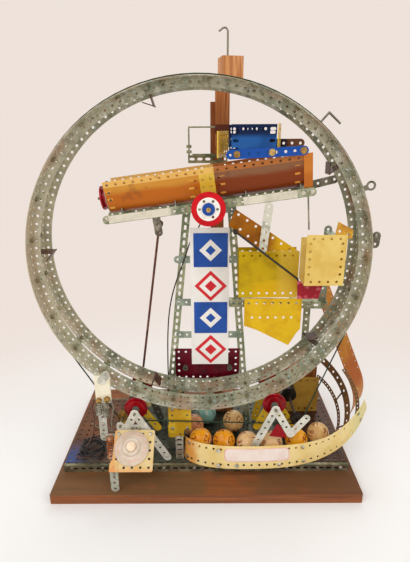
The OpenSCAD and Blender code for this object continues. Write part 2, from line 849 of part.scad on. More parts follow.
module chute_walls() {
    color("yellow") {
        for (y = [chute_y, leg_y - metal_t - 18])
            facing(y) difference() {
                translate([53, 301]) square([93, 76]);
                for (i = [0:6], z = [308, 370]) translate([60 + i * pitch, z]) circle(hole_r);
            }
        translate([53, 0, 0]) rotate([90, 0, 0]) linear_extrude(-chute_y - metal_t)
            polygon([[0, 30], [93, 10], [93, 11], [0, 31]] + [for (k = [0:3]) [0, 301]]);
    }
}

module chute_apron() {
    color("gold") facing(chute_y) difference() {
        polygon([[63, 252], [63, 299], [155, 299], [155, 246], [149, 238], [137, 216], [84, 244]]);
        for (i = [0:6]) translate([70 + i * pitch, 291]) circle(hole_r);
        for (i = [0:5]) translate([76 + i * pitch, 266]) circle(hole_r);
    }
}

module side_girders() {
    color("silver") {
        translate([40, leg_y - strip_w, 272]) rotate([0, 1.5, 0]) girder(13);
        for (x = [66, 140])
            translate([x, chute_y + metal_t, 301 - strip_w]) cube([strip_w, 33, metal_t]);
    }
    color("slategray") {
        facing(block_front_y - metal_t) translate([186, deck_top + 64]) rotate(90) strip_2d(15);
        rod([190, block_front_y - 0.5, 268], [208.8, 46.8, 268], 1.5);
    }
}

chute_turn = -35;
chute_top = [209, 50, 285];
module outer_chute() {
    width = 58;
    fall = 64.5;
    run = 174;
    bend = 75;
    sweep = 45;
    knee = run * [cos(fall), -sin(fall)];
    color("goldenrod") translate(chute_top) rotate([0, 0, chute_turn])
        translate([0, width / 2, 0]) rotate([90, 0, 0]) difference() {
            linear_extrude(width) {
                rotate(-fall) square([run + 0.01, metal_t]);
                translate(knee + bend * [-sin(fall), -cos(fall)]) difference() {
                    circle(bend + metal_t, $fn = 96);
                    circle(bend, $fn = 96);
                    rotate(90 - fall) translate([-100, 0]) square([200, 100]);
                    rotate(90 - sweep - fall) translate([-100, -200]) square([200, 200]);
                }
            }
            for (k = [0:12], side = [6, width - 6])
                rotate([0, 0, -fall]) translate([9 + k * pitch, -2, side]) rotate([-90, 0, 0])
                    cylinder(r = hole_r, h = 6);
        }
}

track_steps = 20;
module track_rails() {
    wide = curve([218, 60, 134], [246, 28, 116], [264, -24, 94], [226, -60, 37], track_steps);
    inner = curve([214, 58, 100], [236, 30, 96], [250, -20, 70], [222, -46, 34], track_steps);
    outer = curve([236, -14.5, 160], [258, -34, 130], [270, -40, 98], [240, -60, 54], track_steps);
    leaning = [for (point = wide) [0.5, 0, 1]];
    upright = [for (point = wide) [0.3, 0, 1]];
    color("olivedrab") ribbon(wide, leaning, strip_w, metal_t);
    color("khaki") ribbon(inner, leaning, 6.5, metal_t);
    color("khaki") ribbon(outer, upright, 6.5, metal_t);
    color("silver") for (k = [10, 17])
        rod(inner[k] + [0, 0, 3], wide[k] + [0, 0, 4], 1.4);
}

// The guard leans back along its front and stands up straight at its right end
guard_h = 38.1;
guard_y = -107;
guard_lean = 0.24;
module guard() {
    low = deck_top + 0.3;
    left = curve([-36, -76, low], [-29, -94, low], [0, guard_y, low], [60, guard_y, low], 12);
    right = curve([60, guard_y, low], [130, guard_y, low], [236, -96, 22], [282, -26, 92], 20);
    path = concat(left, [for (i = [1:20]) right[i]]);
    ups = [for (point = path) [0, guard_lean * max(0, min(1, (205 - point[0]) / 90)), 1]];
    color("khaki") ribbon(path, ups, guard_h, metal_t);
}

module guard_bolts() {
    color("goldenrod") for (place = [[20, 6.35], [20, 31.75], [50, 6.35]])
        translate([place[0], guard_y - metal_t - 0.1, deck_top + 0.3]) rotate([-atan(guard_lean), 0, 0])
            bolt(0, 0, place[1], 0.05);
    color("silver") {
        facing(-84) difference() {
            translate([-50, deck_top + 0.3]) square([strip_w, 46]);
            for (k = [0:3]) translate([-50 + strip_w / 2, deck_top + 9 + k * 10]) slot_2d();
        }
    }
}

module deck_upright() {
    color("yellow") facing(-58.9) translate([-62.8, 55.5]) intersection() {
        edged_plate_2d(3, 5);
        union() {
            square([2 * pitch, 61.5]);
            translate([0, 15.6]) square([3 * pitch, 45.9]);
        }
    }
    color("khaki") facing(-57.9) translate([-58, deck_top + 7]) rotate(90) strip_2d(4);
}

// The push button's plate leans back from its lower edge
button_tilt = 55;
button_side = 5 * pitch;
button_corner = [-145.1, -146, 62];
button_at = [29, 35];
module on_button_plate() {
    translate(button_corner) rotate([-button_tilt, 0, 0]) children();
}

module button_plate() {
    color("oldlace") on_button_plate() facing(0) difference() {
        intersection() {
            edged_plate_2d(5, 5);
            hull() for (u = [3, button_side - 3], v = [3, button_side - 3]) translate([u, v]) circle(3);
        }
        translate(button_at) circle(8);
    }
    color("silver") {
        on_button_plate() facing(-metal_t) translate([strip_w / 2 - 3, 0]) difference() {
            union() {
                translate([-strip_w / 2, 0]) square([strip_w, 11.5]);
                translate([0, 11.5]) circle(strip_w / 2);
            }
            translate([0, strip_w / 2]) circle(hole_r);
        }
        facing(-140) translate([button_corner[0] + 3, base_t + strip_w / 2]) difference() {
            union() {
                circle(strip_w / 2);
                translate([-strip_w / 2, 0]) square([strip_w, 40.6]);
            }
            for (i = [0:3]) translate([0, i * 11]) circle(hole_r);
        }
        facing(-91) translate([-115, deck_top + strip_w / 2]) rotate(90) strip_2d(5);
        translate([-115 - strip_w / 2, -96, 95.4]) cube([strip_w, 6, metal_t]);
        translate([-115 - strip_w / 2, -91 + metal_t, deck_top]) cube([strip_w, 8, metal_t]);
    }
}

module push_housing() {
    profile = [
        [7.6, 0], [27, 0], [27, 2.5], [24, 5], [18.6, 7.5],
        [14.5, 8.2], [13.8, 9.8], [9.5, 9.8], [7.6, 8.6]];
    on_button_plate() {
        color("ivory") translate([button_at[0], 0, button_at[1]]) rotate([90, 0, 0]) difference() {
            rotate_extrude($fn = 96) polygon(profile);
            translate([0, 0, -1]) cylinder(r = 10.5, h = 5);
        }
        color("goldenrod") translate([button_at[0] - 9, -0.6, button_at[1] - 2]) cube([18, 0.6, 4]);
    }
}

module push_button() {
    color("lightyellow") on_button_plate() translate([button_at[0], 0, button_at[1]]) rotate([90, 0, 0]) {
        translate([0, 0, 3]) cylinder(r = 7.4, h = 7);
        translate([0, 0, 10]) cylinder(r = 6.4, h = 1.5);
        translate([0, 0, 3]) cylinder(r = 9.6, h = 0.9);
    }
}

contact_y = -93;
module contact_block() {
    color("oldlace") facing(contact_y, 4) difference() {
        translate([-172, 149]) square([24, 47]);
        translate([-160, 189]) circle(hole_r);
    }
    color("goldenrod") {
        translate([-167, contact_y, 155]) rotate([90, 0, 0]) cylinder(r = 4, h = 4);
        translate([-154, contact_y, 157]) rotate([90, 0, 0]) cylinder(r = 4.6, h = 4);
    }
}

module contact_stand() {
    color("silver") {
        facing(contact_y + 4) translate([-165.65, 81.2]) rotate(90) strip_2d(7);
        facing(contact_y + 3) translate([-165.65, 81.2]) strip_2d(5);
        facing(contact_y - 1) translate([-160, 189]) rotate(58) strip_2d(2);
    }
    color("dimgray") translate([-153.3, contact_y + 8, 199.8]) rotate([90, 0, 0])
        cylinder(r = 1.9, h = 15);
}

// A wound lead on the deck, and the black lead clipped down the tower's left side
coil_turns = 9;
coil_rings = 8;
coil_rise = 5;
coil_r = 5.5;
coil_start = [-154, -99, deck_top + 14];
coil_wire_r = 0.9;
coil_points = [for (i = [0:coil_rings * coil_turns]) let (turn = i * 360 / coil_rings)
    coil_start + [coil_r * cos(turn), coil_r * sin(turn), i * coil_rise / coil_rings]];
coil_gaps = [for (i = [0:len(coil_points) - 1], k = [i + coil_rings / 2:len(coil_points) - 1])
    norm(coil_points[k] - coil_points[i])];
echo(coil_least_gap = min(coil_gaps) - 2 * coil_wire_r);
lead_route = [
    [-2, 22, 427], [-8, 20, 408], [-19, 18.5, 391], [-25.9, 13.5, 376], [-31, 10.5, 361],
    [-38.5, 10.5, 340], [-47, 10.5, 318], [-56, 10.5, 288], [-62, 10.5, 255], [-65.5, 10.5, 215],
    [-67, 10.5, 170], [-67.5, 10.5, 135], [-67.5, 10.5, 100], [-67.5, 10.5, 66], [-67.5, 10.5, 32.5]];
deck_lead = [
    [-174, -96, 156], [-178, -99, 143], [-176, -100, 122], [-180, -97, 98], [-190, -88, 72],
    [-203, -74, 50], [-212, -56, 38], [-210, -38, 35], [-198, -28, 34.5], [-184, -32, 34.5],
    [-178, -46, 34.5], [-186, -60, 34.5], [-200, -66, 34.5], [-214, -72, 35], [-218, -84, 38],
    [-205, -90, 40], [-188, -84, 37], [-170, -76, 34.5], [-150, -72, 34.5], [-140, -82, 36],
    [-136, -100, 46], [-132, -113, 62], [-128, -116, 78.5]];
back_lead = [
    [-147.8, -98, 157], [-144, -100, 146], [-148, -98, 126], [-151, -94, 104], [-151, -84, 80],
    [-148, -72, 58], [-144, -58, 42], [-150, -46, 37], [-162, -52, 36.5], [-158, -64, 37.5],
    [-144, -60, 38], [-136, -46, 37], [-142, -28, 35], [-160, -18, 34.5], [-182, -12, 34.5],
    [-200, -4, 34.5], [-214, 8, 34.5]];
module coil_lead() {
    color("goldenrod") tube(coil_points, coil_wire_r, [0, 0, 1], 6);
    color("black") {
        tube(lead_route, 1.1, [0, 1, 0]);
        tube(deck_lead, 1.1, [0.3, 1, 0.2]);
        tube(back_lead, 1.1, [0.3, 1, 0.2]);
    }
}

module motor() {
    color("black") translate([motor_x, 46, motor_z]) rotate([90, 0, 0]) difference() {
        union() {
            cylinder(r = 14, h = 38);
            translate([0, 0, 38]) cylinder(r = 6, h = 3);
        }
        translate([0, 0, 30]) cylinder(r = bore_r, h = 14);
    }
}

module motor_mount() {
    color("peru") facing(46) difference() {
        translate([136, deck_top]) square([80, 76]);
        for (i = [0:5], z = [deck_top + 7, deck_top + 69]) translate([143 + i * pitch, z]) circle(hole_r);
    }
}

module motor_pulley() {
    color("goldenrod") translate([motor_x, cord_y + 3, motor_z]) rotate([90, 0, 0]) {
        cylinder(r = 10, h = 1);
        translate([0, 0, 1]) cylinder(r = 8, h = 4);
        translate([0, 0, 5]) cylinder(r = 10, h = 1);
        translate([0, 0, -68]) cylinder(r = rod_r, h = 80);
    }
}

module idler_pulley() {
    color("goldenrod") translate([idler_x, cord_y + 3, idler_z]) rotate([90, 0, 0]) difference() {
        union() {
            cylinder(r = 9.5, h = 1);
            translate([0, 0, 1]) cylinder(r = 7, h = 4);
            translate([0, 0, 5]) cylinder(r = 9.5, h = 1);
            translate([0, 0, 6]) cylinder(r = 4.5, h = 4);
        }
        translate([0, 0, -1]) cylinder(r = bore_r, h = 13);
    }
}

// Outside tangent between two circles, as the angle of the normal on its left
function tangent_angle(a, ra, b, rb) = atan2(b[1] - a[1], b[0] - a[0]) - acos((ra - rb) / norm(b - a));
function cord_arc(centre, r, from, to, steps) = [for (i = [0:steps])
    let (turn = from + (to - from) * i / steps)
    [centre[0] + r * cos(turn), cord_y, centre[1] + r * sin(turn)]];
module drive_cord() {
    wheel = [wheel_x, wheel_z];
    idler = [idler_x, idler_z];
    drive = [motor_x, motor_z];
    a = tangent_angle(wheel, cord_track, idler, idler_track);
    b = tangent_angle(idler, idler_track, drive, motor_track);
    c = tangent_angle(drive, motor_track, wheel, cord_track);
    over = cord_arc(wheel, cord_track + 0.2, c, a + 360, 56);
    left = cord_arc(idler, idler_track + 0.3, a, b, 7);
    right = cord_arc(drive, motor_track + 0.3, b, c, 7);
    start = right[7] + 0.5 * (over[0] - right[7]);
    stop = start + 0.05 * unit(right[7] - start);
    color("dimgray") tube(concat([start], over, left, right, [stop]), cord_r, [0, 1, 0]);
}

balls = [[0, 14], [-23, -19], [-9, -57], [31, -62], [71, -67], [111, -67], [155, -60], [196, -44], [50, -8]];
module loose_balls() {
    for (i = [0:len(balls) - 1])
        color(i == 0 ? "teal" : i == 1 || i == 8 ? "darkorange" : i % 2 ? "gold" : "bisque")
            translate([balls[i][0], balls[i][1], deck_top + ball_r + touch]) sphere(r = ball_r, $fn = 48);
}

base_board();
deck_girders();
deck_plate_left();
deck_plate_centre();
deck_plate_right();
tower_legs();
tower_plates();
pivot_axle();
roundel();
sign_board();
roller_brackets();
roller_shafts();
drive_cord();
motor();
motor_mount();
post_timbers();
top_block();
foot_blocks();
hook_wire();
hopper_walls();
hopper_ends();
hopper_carrier();
crown_girder();
receiving_box();
box_bracket();
diagonal_plate();
chute_walls();
chute_apron();
side_girders();
outer_chute();
track_rails();
guard();
guard_bolts();
deck_upright();
button_plate();
push_housing();
contact_block();
contact_stand();
coil_lead();
front_ring();
rear_ring();
cross_bars();
ring_bolts();
ball_scoops();
trip_arms();
trough_left();
trough_middle();
trough_right();
trough_rails();
trough_cradles();
rock_arm();
end_pulley();
push_rod();
rock_lever();
left_rollers();
right_rollers();
motor_pulley();
idler_pulley();
push_button();
loose_balls();
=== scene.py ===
import math
import random

import bmesh
import bpy
from mathutils import Matrix, Vector


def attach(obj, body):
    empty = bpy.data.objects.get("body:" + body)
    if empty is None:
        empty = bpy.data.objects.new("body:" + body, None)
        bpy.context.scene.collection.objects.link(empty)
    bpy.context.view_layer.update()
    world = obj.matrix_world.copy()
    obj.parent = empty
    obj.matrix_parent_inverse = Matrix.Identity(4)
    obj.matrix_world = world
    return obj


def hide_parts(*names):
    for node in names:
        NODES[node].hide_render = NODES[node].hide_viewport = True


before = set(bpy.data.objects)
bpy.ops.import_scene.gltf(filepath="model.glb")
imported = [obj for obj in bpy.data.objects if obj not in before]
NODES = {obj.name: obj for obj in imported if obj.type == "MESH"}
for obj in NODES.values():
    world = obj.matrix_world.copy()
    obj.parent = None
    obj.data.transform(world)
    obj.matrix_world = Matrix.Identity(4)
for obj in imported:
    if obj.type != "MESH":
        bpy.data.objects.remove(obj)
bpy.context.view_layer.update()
SCENE = bpy.context.scene
MM = 0.001

# Sizes and places in millimetres, the same as the CAD's
PITCH = 12.7
STRIP_W = 12.7
METAL_T = 1.0
HOLE_R = 2.05
DECK_TOP = 31.7
WHEEL_CENTRE = (-8.0, 370.0)
ROLLER_CENTRES = ((-114.0, 124.64), (112.0, 131.2))
ROCK_CENTRE = (6.0, 448.0)
ROCK_TILT = math.radians(7.5)
RAIL_FRONT = -36.5
BUTTON_TILT = math.radians(55)
BUTTON_CORNER = (-145.1, -146.0, 62.0)
BUTTON_AT = (29.0, 35.0)
GUARD_LOW = DECK_TOP + 0.3
GUARD_LEAN = 0.24
LEAD_R = 1.1
BALL_R = 19.0


def tone(*shown):
    """A colour as a screen shows it, from 0 to 255, in the linear values that a shader takes."""
    parts = [value / 255 for value in shown]
    return (*(v / 12.92 if v <= 0.04045 else ((v + 0.055) / 1.055) ** 2.4 for v in parts), 1.0)


def circle(radius, count):
    """Points at even steps round a circle."""
    return [(radius * math.cos(a), radius * math.sin(a)) for a in (k * math.tau / count for k in range(count))]


def add_object(name, data):
    made = bpy.data.objects.new(name, data)
    SCENE.collection.objects.link(made)
    return made


# Camera, floor and light

def make_camera():
    """The photograph's viewing angle, from the base board's corners and the wheel's outline."""
    pitch, yaw, roll = 0.33485, -0.003996, 0.006863
    place = Vector((0.00276, -0.67881, 0.55509))
    width_px, focal_px, sensor_mm = 410, 436.83, 36
    forward = Vector((math.sin(yaw) * math.cos(pitch), math.cos(yaw) * math.cos(pitch), -math.sin(pitch)))
    level = Vector((math.cos(yaw), -math.sin(yaw), 0))
    down = forward.cross(level)
    right = level * math.cos(roll) + down * math.sin(roll)
    up = level * math.sin(roll) - down * math.cos(roll)
    data = bpy.data.cameras.new("camera")
    data.sensor_fit = "HORIZONTAL"
    data.sensor_width = sensor_mm
    data.lens = focal_px / width_px * sensor_mm
    data.clip_start = 0.01
    camera = add_object("camera", data)
    camera.matrix_world = Matrix.Translation(place) @ Matrix((right, up, -forward)).transposed().to_4x4()
    SCENE.camera = camera


def feed(node, inputs):
    """Sets inputs of a node to numbers or colours, or links them to the sockets and wires given."""
    for key, value in inputs.items():
        if isinstance(value, Wire):
            value = value.socket
        if isinstance(value, bpy.types.NodeSocket):
            node.id_data.links.new(value, node.inputs[key])
        else:
            node.inputs[key].default_value = value


def new_node(tree, kind, inputs=None, **settings):
    node = tree.nodes.new("ShaderNode" + kind)
    for key, value in settings.items():
        setattr(node, key, value)
    feed(node, inputs or {})
    return node


def seen_rays(tree):
    """1 for rays from the camera and those that a glossy or clear surface sends on."""
    path = new_node(tree, "LightPath")
    total = path.outputs["Is Camera Ray"]
    for other in ("Is Glossy Ray", "Is Transmission Ray"):
        total = new_node(tree, "Math", {0: total, 1: path.outputs[other]}, operation="MAXIMUM").outputs[0]
    return total


def make_studio():
    backdrop = tone(238, 226, 218)
    world = bpy.data.worlds.new("studio")
    world.use_nodes = True
    SCENE.world = world
    tree = world.node_tree
    light = tree.nodes["Background"]
    feed(light, {"Color": (1.0, 0.99, 0.975, 1), "Strength": 0.72})
    seen = new_node(tree, "Background", {"Color": backdrop})
    mixer = new_node(tree, "MixShader", {0: seen_rays(tree), 1: light.outputs[0], 2: seen.outputs[0]})
    feed(tree.nodes["World Output"], {"Surface": mixer.outputs[0]})

    floor_reach, sides = 6.0, 64
    mesh = bpy.data.meshes.new("floor")
    mesh.from_pydata([(x, y, 0) for x, y in circle(floor_reach, sides)], [], [tuple(range(sides))])
    add_object("floor", mesh)
    paper = Paint("floor_paper", 0.9).start((243, 241, 239))
    fade_start, fade_end = 380, 1100
    far = paper.radius((0, -400), "xy").step(fade_start, fade_end)
    glow = new_node(paper.tree, "Emission", {"Color": backdrop})
    mixer = new_node(paper.tree, "MixShader", {0: far, 1: paper.shader.outputs[0], 2: glow.outputs[0]})
    feed(paper.tree.nodes["Material Output"], {"Surface": mixer.outputs[0]})
    mesh.materials.append(paper.material)

    aim = Vector((0, 0, 0.33))
    for name, place, size, watts in (
        ("key_lamp", (-0.9, -1.3, 1.9), 1.4, 17),
        ("fill_lamp", (1.3, -1.0, 1.2), 1.2, 7),
        ("back_lamp", (0.3, 1.5, 1.6), 1.2, 9),
    ):
        data = bpy.data.lights.new(name, "AREA")
        data.size = size
        data.energy = watts
        lamp = add_object(name, data)
        lamp.location = place
        lamp.rotation_euler = (aim - lamp.location).to_track_quat("-Z", "Y").to_euler()


# Materials

class Wire:
    """A number inside a material, so that patterns can be written as sums, products and steps."""

    def __init__(self, socket):
        self.socket = socket
        self.tree = socket.id_data

    def math(self, operation, *others):
        node = new_node(self.tree, "Math", dict(enumerate((self, *others))), operation=operation)
        return Wire(node.outputs[0])

    def __add__(self, other):
        return self.math("ADD", other)

    def __sub__(self, other):
        return self.math("SUBTRACT", other)

    def __mul__(self, other):
        return self.math("MULTIPLY", other)

    def off(self):
        """1 where this is 0, and 0 where it is 1."""
        return self * -1 + 1

    def step(self, low, high):
        """0 up to low, 1 from high on, and smooth between them."""
        node = new_node(self.tree, "MapRange", {"Value": self, "From Min": low, "From Max": high},
                        interpolation_type="SMOOTHSTEP")
        return Wire(node.outputs["Result"])

    def within(self, low, high, soft=0.4):
        return self.step(low - soft, low) * self.step(high, high + soft).off()


PAINTS = {}


class Paint:
    """A material with its patterns laid out in millimetres, in the frame of the piece that wears it."""

    def __init__(self, name, rough=0.5, metal=0.0, coat=0.0, gloss=0.22):
        PAINTS[name] = self
        self.material = bpy.data.materials.new(name)
        self.material.use_nodes = True
        self.tree = self.material.node_tree
        self.shader = self.tree.nodes["Principled BSDF"]
        self.surface({"Roughness": rough, "Metallic": metal, "Coat Weight": coat, "Coat Roughness": 0.2,
                      "Specular IOR Level": gloss})
        coords = new_node(self.tree, "TexCoord")
        scale = new_node(self.tree, "VectorMath", {0: coords.outputs["Object"], "Scale": 1 / MM}, operation="SCALE")
        self.place = scale.outputs[0]
        split = new_node(self.tree, "SeparateXYZ", {0: self.place})
        self.x, self.y, self.z = (Wire(socket) for socket in split.outputs)
        self.colour = None

    def surface(self, inputs):
        feed(self.shader, inputs)
        return self

    def start(self, colour):
        self.colour = tone(*colour)
        return self.surface({"Base Color": self.colour})

    def layer(self, colour, mask, strength=1.0):
        """Lays a colour over the last one wherever mask is 1."""
        factor = mask * strength if strength != 1.0 else mask
        mixer = new_node(self.tree, "Mix", {0: factor, 6: self.colour, 7: tone(*colour)}, data_type="RGBA")
        self.colour = mixer.outputs[2]
        return self.surface({"Base Color": self.colour})

    def noise(self, size, detail=3, harsh=0.55, stretch=(1, 1, 1), seed=0):
        """Cloudy noise about 0.5, with spots of about size millimetres."""
        scale, shift = tuple(s / size for s in stretch), (seed * 7.3, seed * 3.1, seed * 5.7)
        move = new_node(self.tree, "VectorMath", {0: self.place, 1: scale, 2: shift}, operation="MULTIPLY_ADD")
        node = new_node(self.tree, "TexNoise", {
            "Vector": move.outputs[0], "Scale": 1.0, "Detail": detail, "Roughness": harsh})
        return Wire(node.outputs["Fac"])

    def spots(self, size, low, high, detail=4, seed=0, harsh=0.55):
        """0 where the noise is under low and 1 where it is over high."""
        return self.noise(size, detail, harsh, seed=seed).step(low, high)

    def wavy(self, wire, width, size, seed=4, detail=3):
        """A distance that wanders over width in all, for an uneven border between two colours."""
        return self.noise(size, detail, seed=seed) * width - width / 2 + wire

    def rough(self, wire, low, high):
        """Roughness from low to high as wire goes from 0 to 1."""
        return self.surface({"Roughness": wire * (high - low) + low})

    def bump(self, wire, strength):
        node = new_node(self.tree, "Bump", {"Strength": strength, "Distance": 0.4 * MM, "Height": wire})
        return self.surface({"Normal": node.outputs[0]})

    def radius(self, centre, across="xz"):
        """Distance from centre in the plane of two axes."""
        first = getattr(self, across[0]) - centre[0]
        second = getattr(self, across[1]) - centre[1]
        return (first * first + second * second).math("SQRT")

    def trough_axes(self):
        """Distances along and square to the rocking trough."""
        x = self.x - ROCK_CENTRE[0]
        z = self.z - ROCK_CENTRE[1]
        along = x * math.cos(ROCK_TILT) + z * math.sin(ROCK_TILT)
        upright = z * math.cos(ROCK_TILT) - x * math.sin(ROCK_TILT)
        return along, upright

    def button_axes(self):
        """Distances across, up and behind the tilted plate of the push button."""
        y = self.y - BUTTON_CORNER[1]
        z = self.z - BUTTON_CORNER[2]
        up = y * math.sin(BUTTON_TILT) + z * math.cos(BUTTON_TILT)
        behind = y * math.cos(BUTTON_TILT) - z * math.sin(BUTTON_TILT)
        return self.x - BUTTON_CORNER[0], up, behind


def enamel(name, base, shade, chip, rough=0.38, metal=0.0, coat=0.15, patch=32, bare=0.63):
    """Paint on sheet metal. The shade lies in patches of patch millimetres, and chips are rarer as bare grows."""
    paint = Paint(name, rough, metal, coat, 0.1).start(base)
    paint.layer(shade, paint.spots(patch, 0.42, 0.64))
    if chip:
        paint.layer(chip, paint.spots(6, bare, bare + 0.05, 5, seed=2, harsh=0.7))
    paint.rough(paint.noise(14, 3, seed=4), rough * 0.7, rough * 1.35)
    return paint.bump(paint.noise(1.8, 2), 0.12)


def worn_metal(name, base, shade, dark, light, rough=0.36, metal=0.75, patch=38):
    """Old plated metal: two broad shades, dark blotches, lighter spots that are painted highlights, and fine pitting.
    """
    paint = Paint(name, rough, metal).start(base)
    paint.layer(shade, paint.spots(patch, 0.43, 0.6))
    # Painted highlights: the light colour laid in small spots over the metal.
    paint.layer(light, paint.spots(17, 0.52, 0.64, seed=5), 0.7)
    paint.layer(dark, paint.spots(9, 0.56, 0.67, 5, seed=3, harsh=0.68), 0.85)
    paint.rough(paint.noise(11, 4, seed=6), rough * 0.6, rough * 1.6)
    return paint.bump(paint.noise(2.2, 4, 0.7), 0.3)


def timber(name, base, dark, light, along, wide):
    """Wood with its grain along one axis."""
    paint = Paint(name, 0.5).start(base)
    stretch = tuple(0.045 if axis == along else 1 for axis in "xyz")
    paint.layer(dark, paint.noise(wide, 3, 0.6, stretch).step(0.42, 0.62), 0.8)
    paint.layer(light, paint.noise(wide * 0.45, 3, 0.6, stretch, seed=3).step(0.52, 0.66), 0.55)
    fine = paint.noise(1.1, 3, 0.7, stretch, seed=7)
    paint.layer(dark, fine.step(0.55, 0.7), 0.6)
    paint.rough(fine, 0.38, 0.62)
    return paint.bump(fine, 0.3)


def sheet_paints():
    """The painted plates, strips and boards."""
    deck = enamel("deck_brown", (116, 76, 52), (88, 62, 46), (140, 120, 92), 0.42, 0.2, patch=44)
    deck.layer((54, 84, 140), deck.x.step(-188, -226) * deck.y.step(-30, -80), 0.8)
    deck.layer((96, 94, 92), deck.x.step(-226, -196) * deck.y.step(-20, -70), 0.5)
    deck.layer((54, 62, 54), deck.x.step(-150, -110) * deck.x.step(0, -10), 0.7)
    deck.layer((70, 48, 38), deck.x.step(110, 130), 0.8)
    centre = enamel("deck_dark", (74, 78, 64), (48, 52, 44), (120, 120, 98), 0.42, 0.3)
    centre.layer((70, 48, 38), centre.x.step(140, 200), 0.7)
    girder = worn_metal("deck_girder", (148, 144, 116), (118, 120, 98), (66, 66, 52), (186, 180, 150))
    girder.layer((84, 60, 48), girder.y.step(-60, -30) * girder.z.step(20, 26), 0.6)
    enamel("white_board", (243, 240, 234), (236, 231, 222), None, 0.35, 0, 0.2, 40)
    enamel("label_white", (220, 212, 192), (204, 196, 176), (176, 170, 150), 0.4, patch=20, bare=0.66)
    enamel("label_cream", (240, 224, 212), (234, 212, 200), None, 0.4, patch=26)
    enamel("label_pink", (236, 190, 178), (228, 174, 160), None, 0.4, patch=12)
    enamel("tile_blue", (30, 82, 168), (26, 72, 152), None, 0.3, 0, 0.3)
    enamel("tile_red", (218, 38, 46), (204, 30, 42), None, 0.3, 0, 0.3)
    roller = enamel("crimson", (156, 4, 16), (116, 2, 12), (88, 12, 16), 0.28, 0.0, 0.25, 14, 0.66)
    for centre in ROLLER_CENTRES:
        roller.layer((96, 104, 92), roller.radius(centre).step(6.3, 5.9))
    enamel("end_crimson", (176, 16, 34), (134, 8, 22), (84, 20, 22), 0.28, 0.0, 0.25, 10, 0.66)
    upright = enamel("yellow_plate", (214, 176, 46), (196, 150, 30), (140, 104, 40), 0.36, bare=0.67)
    upright.layer((84, 84, 68), upright.y.step(-57.98, -57.92) * upright.z.step(58, 57))
    enamel("gold_plate", (246, 204, 84), (232, 180, 60), (160, 118, 50), 0.34)
    enamel("ochre_plate", (186, 146, 62), (164, 122, 46), (112, 78, 40), 0.3, bare=0.66)
    enamel("box_yellow", (226, 196, 112), (214, 178, 88), (178, 140, 66), 0.34, 0, 0.1, 44, 0.68)
    enamel("apron_yellow", (222, 180, 24), (206, 158, 16), (140, 100, 24), 0.3, 0, 0.1, 30, 0.67)
    enamel("scoop_brown", (84, 54, 40), (60, 40, 32), (116, 96, 74), 0.4)

    lemon = enamel("lemon_plate", (192, 158, 6), (168, 136, 4), (150, 118, 16), 0.28, 0, 0.1, 30, 0.68)
    low = lemon.wavy(lemon.z, 40, 22, 6, detail=4).step(338, 322) * lemon.x.step(70, 84)
    lemon.layer((214, 168, 6), low, 0.9)
    lemon.layer((214, 176, 60), lemon.x.step(108, 122), 0.7)

    brace = enamel("brace_amber", (162, 98, 14), (144, 82, 10), (110, 62, 20), 0.28, 0, 0.1, 26, 0.68)
    brace.layer((214, 168, 12), brace.wavy(brace.x, 24, 18, 5).step(92, 122))
    brace.layer((206, 202, 184), brace.y.within(-40.1, -38.9, 0.05))
    brace.layer((150, 152, 136), brace.y.within(-40.1, -38.9, 0.05) * brace.spots(11, 0.5, 0.62, seed=4), 0.7)
    brace.layer((58, 52, 44), brace.y.step(-40.6, -41) + brace.y.step(-28.6, -28.2))

    chute = enamel("chute_amber", (176, 110, 14), (152, 84, 8), (110, 64, 20), 0.4, 0, 0.0, 40, 0.68)
    chute.layer((160, 76, 8), chute.wavy(chute.z, 50, 30, 6).step(190, 150), 0.7)
    chute.layer((190, 124, 30), chute.wavy(chute.z, 40, 30, 8).step(124, 90), 0.6)

    guard = enamel("guard_cream", (236, 210, 146), (228, 196, 122), (180, 146, 84), 0.32, 0, 0.1, 34, 0.68)
    guard.layer((216, 136, 44), guard.wavy(guard.x, 24, 20).step(-6, -26), 0.8)
    guard.layer((196, 190, 118), guard.x.step(226, 262), 0.6)
    enamel("cream_plate", (234, 212, 148), (222, 192, 120), (160, 130, 84), 0.34, bare=0.67)

    track = enamel("track_brown", (128, 92, 56), (100, 78, 48), (160, 140, 100), 0.4, 0.3)
    track.layer((108, 62, 44), track.wavy(track.z, 24, 16).step(80, 58), 0.7)

    plate = enamel("button_cream", (224, 198, 142), (216, 180, 110), (170, 126, 70), 0.32, 0, 0.1, 24, 0.68)
    across, up, behind = plate.button_axes()
    plate.layer((226, 150, 82), plate.wavy(across, 16, 12).step(12, 2) + up.step(9, 1), 0.55)
    plate.layer((168, 166, 150), behind.step(1.1, 1.3))
    plate.layer((112, 112, 98), behind.step(1.1, 1.3) * plate.spots(8, 0.52, 0.64, seed=7), 0.7)

    disc = enamel("porcelain", (218, 202, 184), (204, 184, 162), None, 0.2, 0, 0.4, 18)
    across, up, behind = disc.button_axes()
    across, up = across - BUTTON_AT[0], up - BUTTON_AT[1]
    spread = (across * across + up * up).math("SQRT")
    stain = disc.spots(9, 0.4, 0.6, 3, seed=3)
    disc.layer((226, 172, 146), spread.step(27, 22) * spread.step(17, 21) * stain, 0.5)
    disc.layer((190, 156, 132), spread.step(15.2, 14.2) * spread.step(13.2, 13.8), 0.6)
    disc.layer((170, 124, 62), behind.step(-0.65, -0.6) * spread.step(10, 9.6))
    enamel("ivory_push", (244, 222, 190), (234, 206, 170), None, 0.22, 0, 0.6, 8)

    block = enamel("block_cream", (240, 232, 206), (228, 218, 188), (196, 180, 150), 0.36, 0, 0.2, 18, 0.66)
    block.layer((150, 106, 60), block.y.step(-93.02, -93.06))
    enamel("motor_black", (40, 40, 38), (26, 26, 26), (80, 76, 66), 0.36, 0.2)


